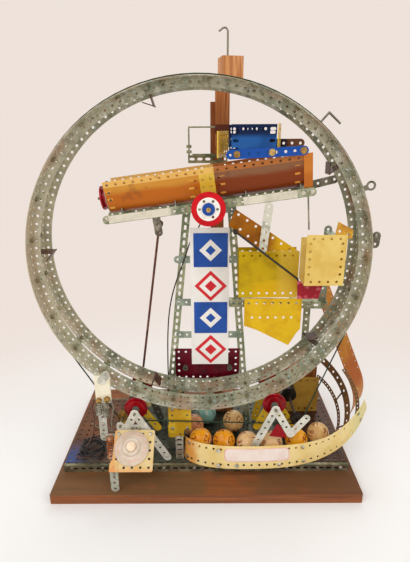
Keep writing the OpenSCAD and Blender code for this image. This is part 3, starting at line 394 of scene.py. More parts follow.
def metal_paints():
    """The bare metals, and the nodes that mix them with paint."""
    ring = worn_metal("wheel_metal", (182, 178, 154), (150, 154, 132), (100, 104, 84), (216, 214, 198), 0.42, 0.45)
    reach = ring.radius(WHEEL_CENTRE)
    ring.layer((176, 146, 120), ring.spots(54, 0.48, 0.62, seed=11) * reach.step(242, 249), 0.7)
    ring.layer((160, 136, 96), reach.step(250.2, 250.8) * ring.spots(60, 0.4, 0.62, 3, seed=12), 0.7)
    ring.layer((88, 94, 76), ring.spots(26, 0.58, 0.68, 5, seed=13, harsh=0.62), 0.5)
    # Painted light: the left side of the rings is made lighter, where the light falls on them.
    ring.layer((214, 204, 176), ring.x.step(-150, -240), 0.45)
    # Painted highlights: small pale bluish spots over the ring metal.
    ring.layer((196, 208, 206), ring.spots(7, 0.58, 0.66, seed=15, harsh=0.6), 0.6)
    worn_metal("frame_metal", (152, 154, 122), (116, 126, 98), (64, 70, 50), (190, 190, 162), 0.4, 0.4)
    worn_metal("pale_strip", (216, 212, 198), (190, 188, 174), (124, 118, 102), (234, 230, 220), 0.4, 0.4)
    worn_metal("dull_steel", (132, 128, 112), (102, 98, 82), (58, 52, 44), (180, 174, 158))
    worn_metal("brass", (190, 154, 86), (152, 116, 64), (94, 70, 44), (226, 196, 130), 0.3, 0.85, 12)
    worn_metal("dull_brass", (150, 140, 108), (122, 112, 84), (70, 60, 44), (190, 180, 146), 0.4, 0.6, 12)
    worn_metal("nickel", (196, 192, 178), (160, 156, 142), (92, 86, 74), (228, 224, 212), 0.26, 0.85, 12)
    worn_metal("copper_wire", (196, 116, 58), (158, 84, 42), (98, 54, 32), (228, 154, 96), 0.3, 0.9, 8)
    worn_metal("rusty_rod", (112, 70, 54), (84, 50, 40), (52, 34, 28), (146, 102, 80), 0.45, 0.5, 20)
    worn_metal("black_steel", (62, 54, 48), (44, 38, 34), (28, 26, 24), (96, 88, 78), 0.4, 0.6, 14)

    tower = enamel("tower_paint", (150, 160, 142), (122, 134, 118), (78, 82, 68), 0.36, 0.25, 0.2, 24)
    tower.layer((96, 92, 82), tower.y.step(12.6, 12.3) * tower.z.step(200, 190))
    wine = tower.z.step(192, 190) * tower.y.step(12.8, 12.95)
    tower.layer((98, 6, 28), wine)
    tower.layer((70, 4, 20), wine * tower.spots(24, 0.46, 0.62, seed=6), 0.8)

    bracket = enamel("bracket_paint", (222, 218, 204), (196, 194, 180), (120, 112, 96), 0.38, 0.2, 0.2, 14)
    bracket.layer((212, 174, 40), bracket.y.step(-60, -59))
    bracket.layer((84, 84, 72), bracket.y.step(8, 14) * bracket.x.step(0, -1))
    gusset = bracket.y.step(-87.08, -87.02) * bracket.y.step(-85, -85.6)
    bracket.layer((150, 8, 24), gusset * bracket.x.step(100, 102) * bracket.z.step(72, 74))

    carrier = enamel("carrier_paint", (40, 42, 60), (28, 30, 44), (80, 76, 70), 0.36, 0.3)
    carrier.layer((128, 84, 56), carrier.wavy(carrier.x, 16, 9).step(120, 132))
    carrier.layer((150, 156, 138), carrier.y.step(24, 26))

    held = enamel("bracket_amber", (206, 152, 48), (180, 124, 38), (120, 84, 40), 0.32, 0.05, 0.3, 20)
    held.layer((150, 158, 140), held.y.step(-44, -42))
    held.layer((150, 12, 34), held.y.within(-48, -45, 0.3))
    held.layer((206, 104, 110), held.y.within(-48, -45, 0.3) * held.spots(9, 0.5, 0.62, 3, seed=5), 0.7)

    cradle = enamel("cradle_paint", (156, 160, 142), (124, 132, 114), (80, 80, 66), 0.36, 0.3)
    along, upright = cradle.trough_axes()
    cradle.layer((206, 124, 46), along.step(139.5, 141))
    cradle.layer((180, 92, 24), along.step(139.5, 141) * upright.step(34, 22), 0.6)

    blue = enamel("hopper_blue", (34, 86, 148), (24, 70, 130), (84, 94, 110), 0.28, 0, 0.1, 36, 0.7)
    # Painted shade: the top of the blue wall is darker navy, where the flared wall faces down.
    blue.layer((8, 24, 58), blue.wavy(blue.z, 8, 40, detail=2).step(541, 550), 0.95)
    blue.layer((26, 76, 158), blue.y.step(-49.02, -49.1) * blue.z.step(536, 534))
    blue.layer((196, 170, 116), blue.y.step(-50.02, -50.08))

    disc = enamel("disc", (206, 14, 28), (186, 8, 22), (120, 30, 30), 0.28, 0, 0.2, 14, 0.7)
    spread = disc.radius(ROCK_CENTRE)
    disc.layer((242, 237, 228), spread.step(16.8, 16.3))
    disc.layer((34, 76, 156), spread.step(9.4, 9.0))

    bolted = worn_metal("guard_metal", (196, 192, 178), (160, 156, 142), (92, 86, 74), (228, 224, 212), 0.3, 0.7, 12)
    bolted.layer((150, 108, 70), bolted.x.step(-30, -35) * bolted.spots(12, 0.46, 0.6, seed=5), 0.6)


def wood_paints():
    base = timber("base_wood", (140, 80, 42), (104, 58, 32), (164, 98, 54), "x", 16)
    base.layer((106, 80, 50), base.spots(80, 0.34, 0.5, 3, seed=9) * base.z.step(16, 18), 0.75)
    base.layer((92, 56, 34), base.x.step(20, 150) * base.z.step(16, 18), 0.6)
    base.layer((84, 46, 28), base.spots(5, 0.66, 0.7, 5, seed=12, harsh=0.7), 0.6)
    pine = timber("pine", (168, 100, 52), (128, 68, 32), (196, 130, 80), "z", 7)
    # Painted shadow: a dark band on the front of the post, just below the upper timber's lower end.
    pine.layer((90, 38, 26), pine.z.within(549, 561, 1.5) * pine.y.step(48, 46), 0.9)
    timber("pine_block", (210, 144, 88), (170, 102, 56), (234, 178, 124), "z", 4.5)


def cord_paints():
    cord = Paint("cord", 0.75).start((34, 52, 40))
    cord.layer((60, 84, 58), cord.spots(1.2, 0.5, 0.6, 2), 0.7)
    cord.bump(cord.noise(0.8, 2), 0.6)
    for name, base_tone, mark in (
        ("black_lead", (36, 32, 32), (70, 62, 58)),
        ("grey_lead", (126, 116, 100), (90, 82, 70)),
        ("brown_lead", (92, 56, 40), (60, 40, 32)),
    ):
        lead = Paint(name, 0.45, 0, 0.2).start(base_tone)
        lead.layer(mark, lead.spots(9, 0.5, 0.62, 3), 0.6)
        lead.rough(lead.noise(4, 3, seed=2), 0.35, 0.6)


def trough_paints():
    """The trough's three sheets, paler towards the rim, with light in some of the slots below it."""
    slot_width = 7
    for name, low, middle, top, rim, glow, lit in (
        ("trough_amber", (156, 76, 18), (186, 100, 22), (206, 142, 52), (236, 188, 104), (238, 184, 84), (-144, -24)),
        ("trough_brown", (104, 42, 14), (126, 54, 16), (136, 92, 62), (186, 110, 48), (232, 160, 62), (21, 129)),
        ("trough_yellow", (204, 156, 46), (220, 176, 58), (228, 188, 74), (236, 188, 104), None, ()),
    ):
        sheet = Paint(name, 0.26, 0, 0.08, 0.12).start(low)
        along, upright = sheet.trough_axes()
        streaks = sheet.noise(26, 3, 0.6, (0.25, 1, 1))
        drift = upright + streaks * 14 - 7
        sheet.layer(middle, drift.step(4, 22))
        sheet.layer(top, drift.step(33, 43))
        sheet.layer(rim, upright.step(46.5, 47.5), 0.8)
        sheet.layer((110, 62, 38), sheet.spots(18, 0.6, 0.7, seed=8), 0.35)
        slots = upright.math("FLOORED_MODULO", PITCH).within(2.6, 5, 0.5) * upright.step(42, 41)
        for start in lit:
            sheet.layer(glow, slots * along.within(start, start + slot_width), 0.75)
        sheet.rough(streaks, 0.18, 0.36)
        sheet.bump(sheet.noise(7, 2), 0.12)


def ball_paints():
    for name, base_tone, mark in (
        ("ball_teal", (134, 184, 172), (104, 152, 142)),
        ("ball_rust", (222, 158, 108), (202, 124, 78)),
        ("ball_gold", (238, 158, 18), (222, 132, 10)),
        ("ball_bright", (246, 172, 18), (234, 148, 8)),
        ("ball_cream", (236, 196, 142), (224, 172, 112)),
        ("ball_tan", (228, 188, 124), (206, 156, 92)),
    ):
        ball = Paint(name, 0.3, 0, 0.15).start(base_tone)
        ball.layer(mark, ball.spots(16, 0.46, 0.62), 0.7)
        ball.layer((150, 100, 62), ball.spots(5, 0.66, 0.72, 5, seed=3, harsh=0.75), 0.6)
        ball.layer((250, 228, 196), ball.spots(9, 0.58, 0.7, 3, seed=5), 0.4)
        ball.rough(ball.noise(8, 3, seed=2), 0.2, 0.42)
        ball.bump(ball.noise(3, 3), 0.08)
    number = enamel("number_red", (128, 16, 18), (92, 12, 14), None, 0.4, 0, 0.1, 4)
    number.layer((190, 96, 62), number.spots(2.5, 0.6, 0.66, seed=3), 0.6)


make_camera()
make_studio()
wood_paints()
sheet_paints()
metal_paints()
cord_paints()
trough_paints()
ball_paints()


# Shapes

def mix(a, b, share):
    return a + (b - a) * share


def curve(a, b, c, d, steps):
    """Points of a cubic curve in millimetres."""
    a, b, c, d = (Vector(point) for point in (a, b, c, d))
    return [a * (1 - t) ** 3 + b * 3 * t * (1 - t) ** 2 + c * 3 * t * t * (1 - t) + d * t ** 3
            for t in (i / steps for i in range(steps + 1))]


def smooth_route(points):
    """A soft curve through given points."""
    steps = 5
    points = [Vector(point) for point in points]
    ends = [points[0] * 2 - points[1]] + points + [points[-1] * 2 - points[-2]]
    route = []
    for a, b, c, d in zip(ends, ends[1:], ends[2:], ends[3:]):
        for i in range(steps):
            t = i / steps
            route.append((b * 2 + (c - a) * t + (a * 2 - b * 5 + c * 4 - d) * t ** 2
                          + (b * 3 - a - c * 3 + d) * t ** 3) / 2)
    return route + [points[-1]]


class Pile:
    """Points in millimetres and faces that become one mesh."""

    def __init__(self):
        self.points = []
        self.faces = []

    def add(self, points, faces):
        first = len(self.points)
        self.points += [Vector(point) for point in points]
        self.faces += [tuple(first + i for i in face) for face in faces]

    def piece(self, name, paint, slot, body="root", smooth=False, replaces=None):
        mesh = bpy.data.meshes.new(name)
        mesh.from_pydata([point * MM for point in self.points], [], self.faces)
        mesh.validate()
        if smooth:
            mesh.shade_smooth()
            mesh.set_sharp_from_angle(angle=math.radians(38))
        mesh.materials.append(PAINTS[paint].material)
        made = add_object(name, mesh)
        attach(made, body)
        if replaces:
            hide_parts(replaces)
        return made


def stack(pile, rings, flip=False):
    """Adds a closed solid whose skin runs from ring to ring, with a cap on both ends."""
    count, top = len(rings[0]), len(rings) - 1
    faces = [(i * count + k, i * count + (k + 1) % count, (i + 1) * count + (k + 1) % count, (i + 1) * count + k)
             for i in range(top) for k in range(count)]
    faces += [tuple(reversed(range(count))), tuple(top * count + k for k in range(count))]
    pile.add([point for ring in rings for point in ring], [face[::-1] for face in faces] if flip else faces)


def sheet_of(pile, points, faces, place, low, high):
    """Adds a flat pattern as a closed sheet; place(u, v, t) says where a point lies at height t."""
    count = len(points)
    edges = {(a, b) for face in faces for a, b in zip(face, face[1:] + face[:1])}
    solid = [tuple(reversed(face)) for face in faces] + [tuple(i + count for i in face) for face in faces]
    solid += [(a, b, b + count, a + count) for a, b in sorted(edges) if (b, a) not in edges]
    pile.add([place(u, v, low) for u, v in points] + [place(u, v, high) for u, v in points], solid)


def perforated(columns, rows, cell, hole, open_rows):
    """A flat strip of square cells with a round hole in the middle of each cell of the open rows."""
    points, faces, known = [], [], {}

    def point(u, v):
        key = (round(u, 4), round(v, 4))
        if key not in known:
            known[key] = len(points)
            points.append((u, v))
        return known[key]

    sides, per_edge, first_corner = 16, 4, 10
    around = circle(hole, sides)
    around = around[first_corner:] + around[:first_corner]
    step = cell / per_edge
    for column in range(columns):
        for row in range(rows):
            u, v = column * cell, row * cell
            if row in open_rows:
                corners = [(u, v), (u + cell, v), (u + cell, v + cell), (u, v + cell)]
                rim = [(mix(a, c, k / per_edge), mix(b, d, k / per_edge))
                       for (a, b), (c, d) in zip(corners, corners[1:] + corners[:1]) for k in range(per_edge)]
                ring = [(u + cell / 2 + x, v + cell / 2 + y) for x, y in around]
                for k in range(sides):
                    after = (k + 1) % sides
                    faces.append((point(*rim[k]), point(*rim[after]), point(*ring[after]), point(*ring[k])))
            else:
                for k in range(per_edge):
                    left, right = u + k * step, u + (k + 1) * step
                    faces.append((point(left, v), point(right, v), point(right, v + cell), point(left, v + cell)))
    return points, faces


class Track:
    """A path with an upward side, along which a flat strip is laid."""

    def __init__(self, points, ups):
        self.points = points
        self.ups = ups
        self.reach = [0.0]
        for a, b in zip(points, points[1:]):
            self.reach.append(self.reach[-1] + (b - a).length)

    def frame(self, i):
        along = (self.points[min(i + 1, len(self.points) - 1)] - self.points[max(i - 1, 0)]).normalized()
        side = (self.ups[i] - along * self.ups[i].dot(along)).normalized()
        return self.points[i], side, along.cross(side)

    def place(self, u, v, t):
        i = 0
        while i < len(self.reach) - 2 and self.reach[i + 1] < u:
            i += 1
        share = (u - self.reach[i]) / (self.reach[i + 1] - self.reach[i])
        near, far = self.frame(i), self.frame(i + 1)
        spot, side, out = (mix(a, b, share) for a, b in zip(near, far))
        return spot + side.normalized() * v + out.normalized() * t


def perforated_track(pile, track, width, hole, rows, open_rows):
    cell = width / rows
    columns = round(track.reach[-1] / cell)
    stretch = track.reach[-1] / (columns * cell)
    points, faces = perforated(columns, rows, cell, hole, open_rows)
    sheet_of(pile, points, faces, lambda u, v, t: track.place(u * stretch, v, t), 0, METAL_T)


def tube(pile, points, radius, sides=10):
    """A round tube along points, with rounded ends."""
    points = [Vector(point) for point in points]
    last = len(points) - 1
    ends = {0: [(0.35, -0.9), (0.8, -0.55), (1, 0)], last: [(1, 0), (0.8, 0.55), (0.35, 0.9)]}
    normal = None
    rings = []
    for i, spot in enumerate(points):
        along = (points[min(i + 1, last)] - points[max(i - 1, 0)]).normalized()
        if normal is None:
            normal = along.orthogonal().normalized()
        normal = (normal - along * normal.dot(along)).normalized()
        across = along.cross(normal)
        for wide, ahead in ends.get(i, [(1, 0)]):
            centre = spot + along * ahead * radius
            rings.append([centre + normal * a + across * b for a, b in circle(radius * wide, sides)])
    stack(pile, rings)


def axes_for(normal, turn=0.0):
    """Two directions square to normal, turned about it, and normal itself."""
    normal = Vector(normal).normalized()
    first = normal.orthogonal().normalized()
    second = normal.cross(first)
    return (first * math.cos(turn) + second * math.sin(turn), second * math.cos(turn) - first * math.sin(turn), normal)


def ring_on(at, axes, outline, height):
    """A flat outline laid square to the last of three axes, at a height over at."""
    first, second, normal = axes
    return [Vector(at) + first * a + second * b + normal * height for a, b in outline]


def screw(pile, at, normal, turn=0.0, radius=2.9, height=1.6, washer=0.0):
    """A cheese-headed screw with a real slot, and a washer below it if one is given."""
    axes = axes_for(normal, turn)

    def disc(wide, low, high, bevel):
        stack(pile, [ring_on(at, axes, circle(r, 24), n)
                     for r, n in ((wide, low), (wide, high - bevel), (wide - bevel, high))])

    base = 0.5 if washer else 0.0
    if washer:
        disc(radius + washer, 0, base, 0.12)
    slot_floor = base + height * 0.5
    disc(radius, base, slot_floor, 0.05)
    half_slot, crown = 0.42, 0.86 * radius
    start = math.asin(half_slot / radius)
    arc = [mix(start, math.pi - start, k / 12) for k in range(13)]
    for way in (1, -1):
        low = [(radius * math.cos(a), way * radius * math.sin(a)) for a in arc]
        top = [(crown * math.cos(a), way * max(crown * math.sin(a), half_slot)) for a in arc]
        levels = ((low, slot_floor - 0.02), (low, base + height * 0.82), (top, base + height))
        stack(pile, [ring_on(at, axes, outline, n) for outline, n in levels], flip=way < 0)


def nut(pile, at, normal, turn=0.0):
    """A square nut with bevelled corners and the end of its screw."""
    axes = axes_for(normal, turn)
    side, height, thread_r, thread_out = 2.8, 2.2, 1.9, 1.1
    cut = side * 0.8
    square = [(side, -cut), (side, cut), (cut, side), (-cut, side), (-side, cut), (-side, -cut), (-cut, -side),
              (cut, -side)]
    for outline, low, high in ((square, 0, height), (circle(thread_r, 12), height - 0.02, height + thread_out)):
        stack(pile, [ring_on(at, axes, outline, n) for n in (low, high)])


def rounded(left, low, right, high, corner, steps=5):
    """Outline of a rectangle with round corners."""
    outline = []
    for x, y, start in ((right - corner, low + corner, -90), (right - corner, high - corner, 0),
                        (left + corner, high - corner, 90), (left + corner, low + corner, 180)):
        for k in range(steps + 1):
            a = math.radians(start + 90 * k / steps)
            outline.append((x + corner * math.cos(a), y + corner * math.sin(a)))
    return outline


# Pieces that take the place of plain solids


def guard_path():
    left = curve((-36, -76, GUARD_LOW), (-29, -94, GUARD_LOW), (0, -107, GUARD_LOW), (60, -107, GUARD_LOW), 40)
    right = curve((60, -107, GUARD_LOW), (130, -107, GUARD_LOW), (236, -96, 22), (282, -26, 92), 90)
    path = left + right[1:]
    ups = [Vector((0, GUARD_LEAN * max(0, min(1, (205 - point.x) / 90)), 1)) for point in path]
    return Track(path, ups)


def make_guard():
    track = guard_path()
    pile = Pile()
    perforated_track(pile, track, 3 * PITCH, HOLE_R, 3, (0, 2))
    pile.piece("tray_guard", "guard_cream", "cream_plate", replaces="guard")

    def at_x(x):
        i = min(range(len(track.points)), key=lambda k: abs(track.points[k].x - x))
        return track.reach[i]

    def height_at(side, u):
        for (u0, v0), (u1, v1) in zip(side, side[1:]):
            if u0 <= u <= u1 and u1 > u0:
                return mix(v0, v1, (u - u0) / (u1 - u0))
        return side[0][1] if u < side[0][0] else side[-1][1]

    start, end, foot, middle, head = at_x(33), at_x(137), 13.5, 23, 33
    for name, paint, grow, low, high in (("guard_label_rim", "label_pink", 1.6, METAL_T, METAL_T + 0.22),
                                         ("guard_label", "label_cream", 0, METAL_T + 0.2, METAL_T + 0.4)):
        pile = Pile()
        outline = rounded(start - grow, foot - grow, end + grow, head + grow * 0.8, 6, 6)
        lower = sorted(point for point in outline if point[1] < middle)
        upper = sorted(point for point in outline if point[1] >= middle)
        even = [mix(lower[0][0], lower[-1][0], k / 40) for k in range(41)]
        stops = sorted({round(u, 4) for u in even + [point[0] for point in lower]})
        points = [(u, height_at(side, u)) for u in stops for side in (lower, upper)]
        faces = [(2 * k, 2 * k + 2, 2 * k + 3, 2 * k + 1) for k in range(len(stops) - 1)]
        sheet_of(pile, points, faces, track.place, low, high)
        pile.piece(name, paint, "white_board")

    screws, nuts = Pile(), Pile()
    for x, heights in ((-30, (6.35, 31.75)), (120, (6.35,)), (160, (6.35, 31.75)), (268, (8, 30))):
        for height in heights:
            u = at_x(x)
            spot = track.place(u, height, METAL_T)
            out = (track.place(u, height, METAL_T + 1) - spot).normalized()
            screw(screws, spot, out, x * 0.7)
            nut(nuts, track.place(u, height, 0), -out, x * 0.3)
    screws.piece("guard_screws", "nickel", "zinc", smooth=True)
    nuts.piece("guard_nuts", "nickel", "zinc")


def make_track():
    steps, rail_w, rail_hole_r = 90, 6.5, 1.3
    wide, inner, outer = (Track(curve(*points, steps), [Vector(up)] * (steps + 1)) for points, up in (
        (((218, 60, 134), (246, 28, 116), (264, -24, 94), (226, -60, 37)), (0.5, 0, 1)),
        (((214, 58, 100), (236, 30, 96), (250, -20, 70), (222, -46, 34)), (0.5, 0, 1)),
        (((236, -14.5, 160), (258, -34, 130), (270, -40, 98), (240, -60, 54)), (0.3, 0, 1))))
    pile = Pile()
    for track, width, hole in ((wide, STRIP_W, HOLE_R), (inner, rail_w, rail_hole_r), (outer, rail_w, rail_hole_r)):
        perforated_track(pile, track, width, hole, 1, (0,))
    for share in (0.5, 0.85):
        near = inner.points[round(share * steps)] + Vector((0, 0, 3))
        far = wide.points[round(share * steps)] + Vector((0, 0, 4))
        tube(pile, [mix(near, far, k / 4) for k in range(5)], 1.4)
    pile.piece("track_strips", "track_brown", "cream_plate", replaces="track_rails")
    screws = Pile()
    for track, share in ((wide, 0.5), (wide, 0.85), (outer, 0.3)):
        spot = track.place(track.reach[-1] * share, 8, METAL_T)
        out = track.place(track.reach[-1] * share, 8, METAL_T + 1) - spot
        screw(screws, spot, out, radius=2.6, height=1.5)
    screws.piece("track_screws", "brass", "brass", smooth=True)


def helix(at, radius, rise, loops):
    sides = 30
    around = circle(radius, sides)
    return [Vector(at) + Vector((*around[k % sides], rise * k / sides)) for k in range(round(loops * sides) + 1)]


def lead_piece(name, paint, route):
    lead = Pile()
    tube(lead, smooth_route(route), LEAD_R)
    return lead.piece(name, paint, "cord", smooth=True, replaces="coil_lead")


def loose_lead(name, paint, route):
    """A lead from one terminal to another that lies free on the deck."""
    path = [Vector(point) * MM for point in smooth_route(route)]
    lead_piece(name, paint, route)


def make_leads():
    coil = Pile()
    coil_start, coil_r, coil_rise, coil_turns, coil_wire_r = (-154, -99, DECK_TOP + 14), 5.5, 5, 9, 0.9
    tube(coil, helix(coil_start, coil_r, coil_rise, coil_turns), coil_wire_r, 8)
    coil.piece("wound_lead", "copper_wire", "brass", smooth=True, replaces="coil_lead")
    tower_lead = [
        (-2, 22, 427), (-8, 20, 408), (-19, 18.5, 391), (-25.9, 13.5, 376), (-31, 10.5, 361),
        (-38.5, 10.5, 340), (-47, 10.5, 318), (-56, 10.5, 288), (-62, 10.5, 255), (-65.5, 10.5, 215),
        (-67, 10.5, 170), (-67.5, 10.5, 135), (-67.5, 10.5, 100), (-67.5, 10.5, 66), (-67.5, 10.5, 32.5)]
    deck_lead = [
        (-174, -96, 156), (-178, -99, 143), (-176, -100, 122), (-180, -97, 98), (-190, -88, 72),
        (-203, -74, 50), (-212, -56, 38), (-210, -38, 35), (-198, -28, 34.5), (-184, -32, 34.5),
        (-178, -46, 34.5), (-186, -60, 34.5), (-200, -66, 34.5), (-214, -72, 35), (-218, -84, 38),
        (-205, -90, 40), (-188, -84, 37), (-170, -76, 34.5), (-150, -72, 34.5), (-140, -82, 36),
        (-136, -100, 46), (-132, -113, 62), (-128, -116, 78.5)]
    back_lead = [
        (-147.8, -98, 157), (-144, -100, 146), (-148, -98, 126), (-151, -94, 104), (-151, -84, 80),
        (-148, -72, 58), (-144, -58, 42), (-150, -46, 37), (-162, -52, 36.5), (-158, -64, 37.5),
        (-144, -60, 38), (-136, -46, 37), (-142, -28, 35), (-160, -18, 34.5), (-182, -12, 34.5),
        (-200, -4, 34.5), (-214, 8, 34.5)]
    terminals = Pile()
    tube(terminals, helix((-167, -101.2, 151.5), 4.2, -3.4, 5.5), 0.8, 8)
    tube(terminals, helix((-155.6, -101.6, 152), 4.6, -3.1, 7.5), 0.8, 8)
    terminals.piece("terminal_wires", "dull_steel", "zinc", smooth=True, replaces="coil_lead")
    tangle = Pile()
    turned = random.Random(5)
    middle_x, middle_y, low_z, level_rise, stray = -193, -66, 37.2, 2.3, 6
    for level in range(4):
        spots = []
        for k in range(14):
            a = k * 1.15 + level
            x = middle_x + 17 * math.cos(a) + turned.uniform(-stray, stray)
            y = middle_y + 20 * math.sin(a) + turned.uniform(-stray, stray)
            spots.append((x, y, low_z + level * level_rise + 0.15 * k))
        tube(tangle, smooth_route(spots), 0.95, 8)
    tangle.piece("lead_tangle", "black_lead", "cord", smooth=True, replaces="coil_lead")
    lead_piece("tower_lead", "black_lead", tower_lead)
    loose_lead("deck_lead", "brown_lead", deck_lead)
    loose_lead("back_lead", "grey_lead", back_lead)


# The sign board's tiles and the blank labels

def flat_tile(pile, outline, face_y, thick):
    """A thin tile in front of a plane at face_y."""
    sheet_of(pile, outline, [tuple(range(len(outline)))], lambda u, v, t: Vector((u, face_y - t, v)), 0, thick)


def diamond(x, z, reach):
    return [(x + reach, z), (x, z + reach), (x - reach, z), (x, z - reach)]


def make_sign():
    """The board's raised lip and its plain tiles, each with a motif of two more layers."""
    board_y, tile_t, motif_t, motif_ys = 11.4, 0.5, 0.35, (10.95, 10.65)
    blue, white, red = Pile(), Pile(), Pile()
    tiles = (((-18.5, 339.4), (37.5, 396.6)), ((-18.5, 279), (37.5, 333)),
             ((-19, 219), (37.8, 277)), ((-19.5, 159.5), (38, 215)))
    for number, (low, high) in enumerate(tiles):
        x, z = (low[0] + high[0]) / 2, (low[1] + high[1]) / 2
        reach = (high[0] - low[0]) / 2
        if number % 2 == 0:
            pile, outline, middle, core = blue, rounded(*low, *high, 1.2), 0.66, 0.3
        else:
            pile, outline, middle, core = red, diamond(x, z, reach * 0.97), 0.7, 0.36
        flat_tile(pile, outline, board_y, tile_t)
        flat_tile(white, diamond(x, z, reach * middle), motif_ys[0], motif_t)
        flat_tile(pile, diamond(x, z, reach * core), motif_ys[1], motif_t)
    blue.piece("sign_blue", "tile_blue", "blue_plate")
    white.piece("sign_white", "white_board", "white_board")
    red.piece("sign_red", "tile_red", "red_paint")
    lip = Pile()
    for low, high in (((-24.3, 157.7), (-23.4, 405.3)), ((39.4, 157.7), (40.3, 405.3)),
                      ((-23.4, 157.7), (39.4, 158.6)), ((-23.4, 404.4), (39.4, 405.3))):
        flat_tile(lip, rounded(*low, *high, 0.2, 2), 13, 1.9)
    lip.piece("sign_edge", "white_board", "white_board")


def trough_place(along, upright, y):
    """A place on the rocking trough, from the distances along and square to it."""
    return Vector((ROCK_CENTRE[0] + along * math.cos(ROCK_TILT) - upright * math.sin(ROCK_TILT), y,
                   ROCK_CENTRE[1] + along * math.sin(ROCK_TILT) + upright * math.cos(ROCK_TILT)))


def make_rail_labels():
    pile = Pile()
    for start, end in ((-150, -56), (52, 131)):
        outline = rounded(start, -5.6, end, 5.6, 1.5)
        sheet_of(pile, outline, [tuple(range(len(outline)))],
                 lambda u, v, t: trough_place(u, v, RAIL_FRONT - t), 0, 0.25)
    pile.piece("rail_labels", "label_white", "white_board", "trough")
    ends = Pile()
    for along in (-12 * PITCH, -3 * PITCH, 3 * PITCH, 11 * PITCH, 12 * PITCH):
        screw(ends, trough_place(along, 0, RAIL_FRONT), (0, -1, 0), along)
        nut(ends, trough_place(along, 0, RAIL_FRONT + METAL_T), (0, 1, 0), along)
    for along in (-128, -48, 56, 136):
        screw(ends, trough_place(along, 0, 5.5 + METAL_T), (0, 1, 0), along)
    ends.piece("rail_screws", "nickel", "zinc", "trough", smooth=True)


# Balls

def number_faces(text, size):
    """Points and faces of a plain number, cut fine enough to lie on a ball."""
    data = bpy.data.curves.new("number", "FONT")
    data.body = text
    data.size = size
    data.align_x = data.align_y = "CENTER"
    data.resolution_u = 6
    holder = bpy.data.objects.new("number", data)
    mesh = holder.to_mesh()
    work = bmesh.new()
    work.from_mesh(mesh)
    holder.to_mesh_clear()
    bpy.data.objects.remove(holder)
    bpy.data.curves.remove(data)
    bmesh.ops.remove_doubles(work, verts=work.verts, dist=0.001)
    for axis in (Vector((1, 0, 0)), Vector((0, 1, 0))):
        for k in range(-12, 13):
            everything = work.verts[:] + work.edges[:] + work.faces[:]
            bmesh.ops.bisect_plane(work, geom=everything, dist=0.0005, plane_co=axis * (k * 1.3 + 0.21), plane_no=axis)
    work.verts.index_update()
    work.normal_update()
    points = [(vert.co.x, vert.co.y) for vert in work.verts]
    faces = []
    for face in work.faces:
        loop = [vert.index for vert in face.verts]
        if face.calc_area() > 5e-6:
            faces.append(tuple(loop if face.normal.z > 0 else reversed(loop)))
    work.free()
    return points, faces


def ball_shape(pile, centre, radius, seed):
    """A ball that is a little out of round, with a faint seam round its middle."""
    turned = random.Random(seed)
    seam_width, seam_depth = 0.35, 0.12
    pole = Vector([turned.uniform(-1, 1) for _ in range(3)]).normalized()
    work = bmesh.new()
    bmesh.ops.create_icosphere(work, subdivisions=5, radius=1)
    work.verts.index_update()
    points = []
    for vert in work.verts:
        way = vert.co.normalized()
        seam = math.exp(-(way.dot(pole) * radius / seam_width) ** 2) * seam_depth
        points.append(centre + way * (radius - seam - 0.03 * (1 + math.sin(way.x * 5 + seed) * math.cos(way.y * 4))))
    faces = [tuple(vert.index for vert in face.verts) for face in work.faces]
    work.free()
    pile.add(points, faces)


def wrap_on_ball(centre, way, spin, radius):
    across, upward, normal = axes_for(way, spin)

    def place(u, v, t):
        reach = max(math.hypot(u, v), 1e-6)
        sideways = (across * u + upward * v) * (math.sin(reach / radius) / reach)
        return centre + (normal * math.cos(reach / radius) + sideways).normalized() * (radius + t)
    return place


def make_balls():
    balls = (
        ((0, 14), "ball_teal", "5"), ((-23, -19), "ball_rust", "9"), ((-9, -57), "ball_gold", "12"),
        ((31, -62), "ball_gold", "27"), ((71, -67), "ball_cream", "31"), ((111, -67), "ball_cream", "8"),
        ((155, -60), "ball_bright", "44"), ((196, -44), "ball_tan", "16"), ((50, -8), "ball_tan", "23"))
    ways = ((0.62, -0.5, 0.62), (-0.75, -0.45, 0.48), (0.1, 0.9, 0.4), (0.3, -0.75, -0.6), (-0.3, 0.25, 0.92))
    for i, ((x, y), paint, text) in enumerate(balls):
        centre = Vector((x, y, DECK_TOP + BALL_R))
        pile = Pile()
        ball_shape(pile, centre, BALL_R, i)
        pile.piece(f"ball_{i + 1}", paint, "ball_paint", "balls", smooth=True, replaces="loose_balls")
        points, faces = number_faces(text, 14)
        digits = Pile()
        spins = random.Random(40 + i)
        for way in ways:
            turned = Vector(way) + Vector([spins.uniform(-0.15, 0.15) for _ in range(3)])
            place = wrap_on_ball(centre, turned, spins.uniform(0, math.tau), BALL_R)
            sheet_of(digits, points, faces, place, -0.25, 0.1)
        digits.piece(f"ball_{i + 1}_number", "number_red", "ball_paint", "balls")


# Screws and nuts that hold the pieces together

def button_place(across, up, behind):
    """A place on the tilted plate of the push button."""
    return Vector((BUTTON_CORNER[0] + across,
                   BUTTON_CORNER[1] + up * math.sin(BUTTON_TILT) + behind * math.cos(BUTTON_TILT),
                   BUTTON_CORNER[2] + up * math.cos(BUTTON_TILT) - behind * math.sin(BUTTON_TILT)))


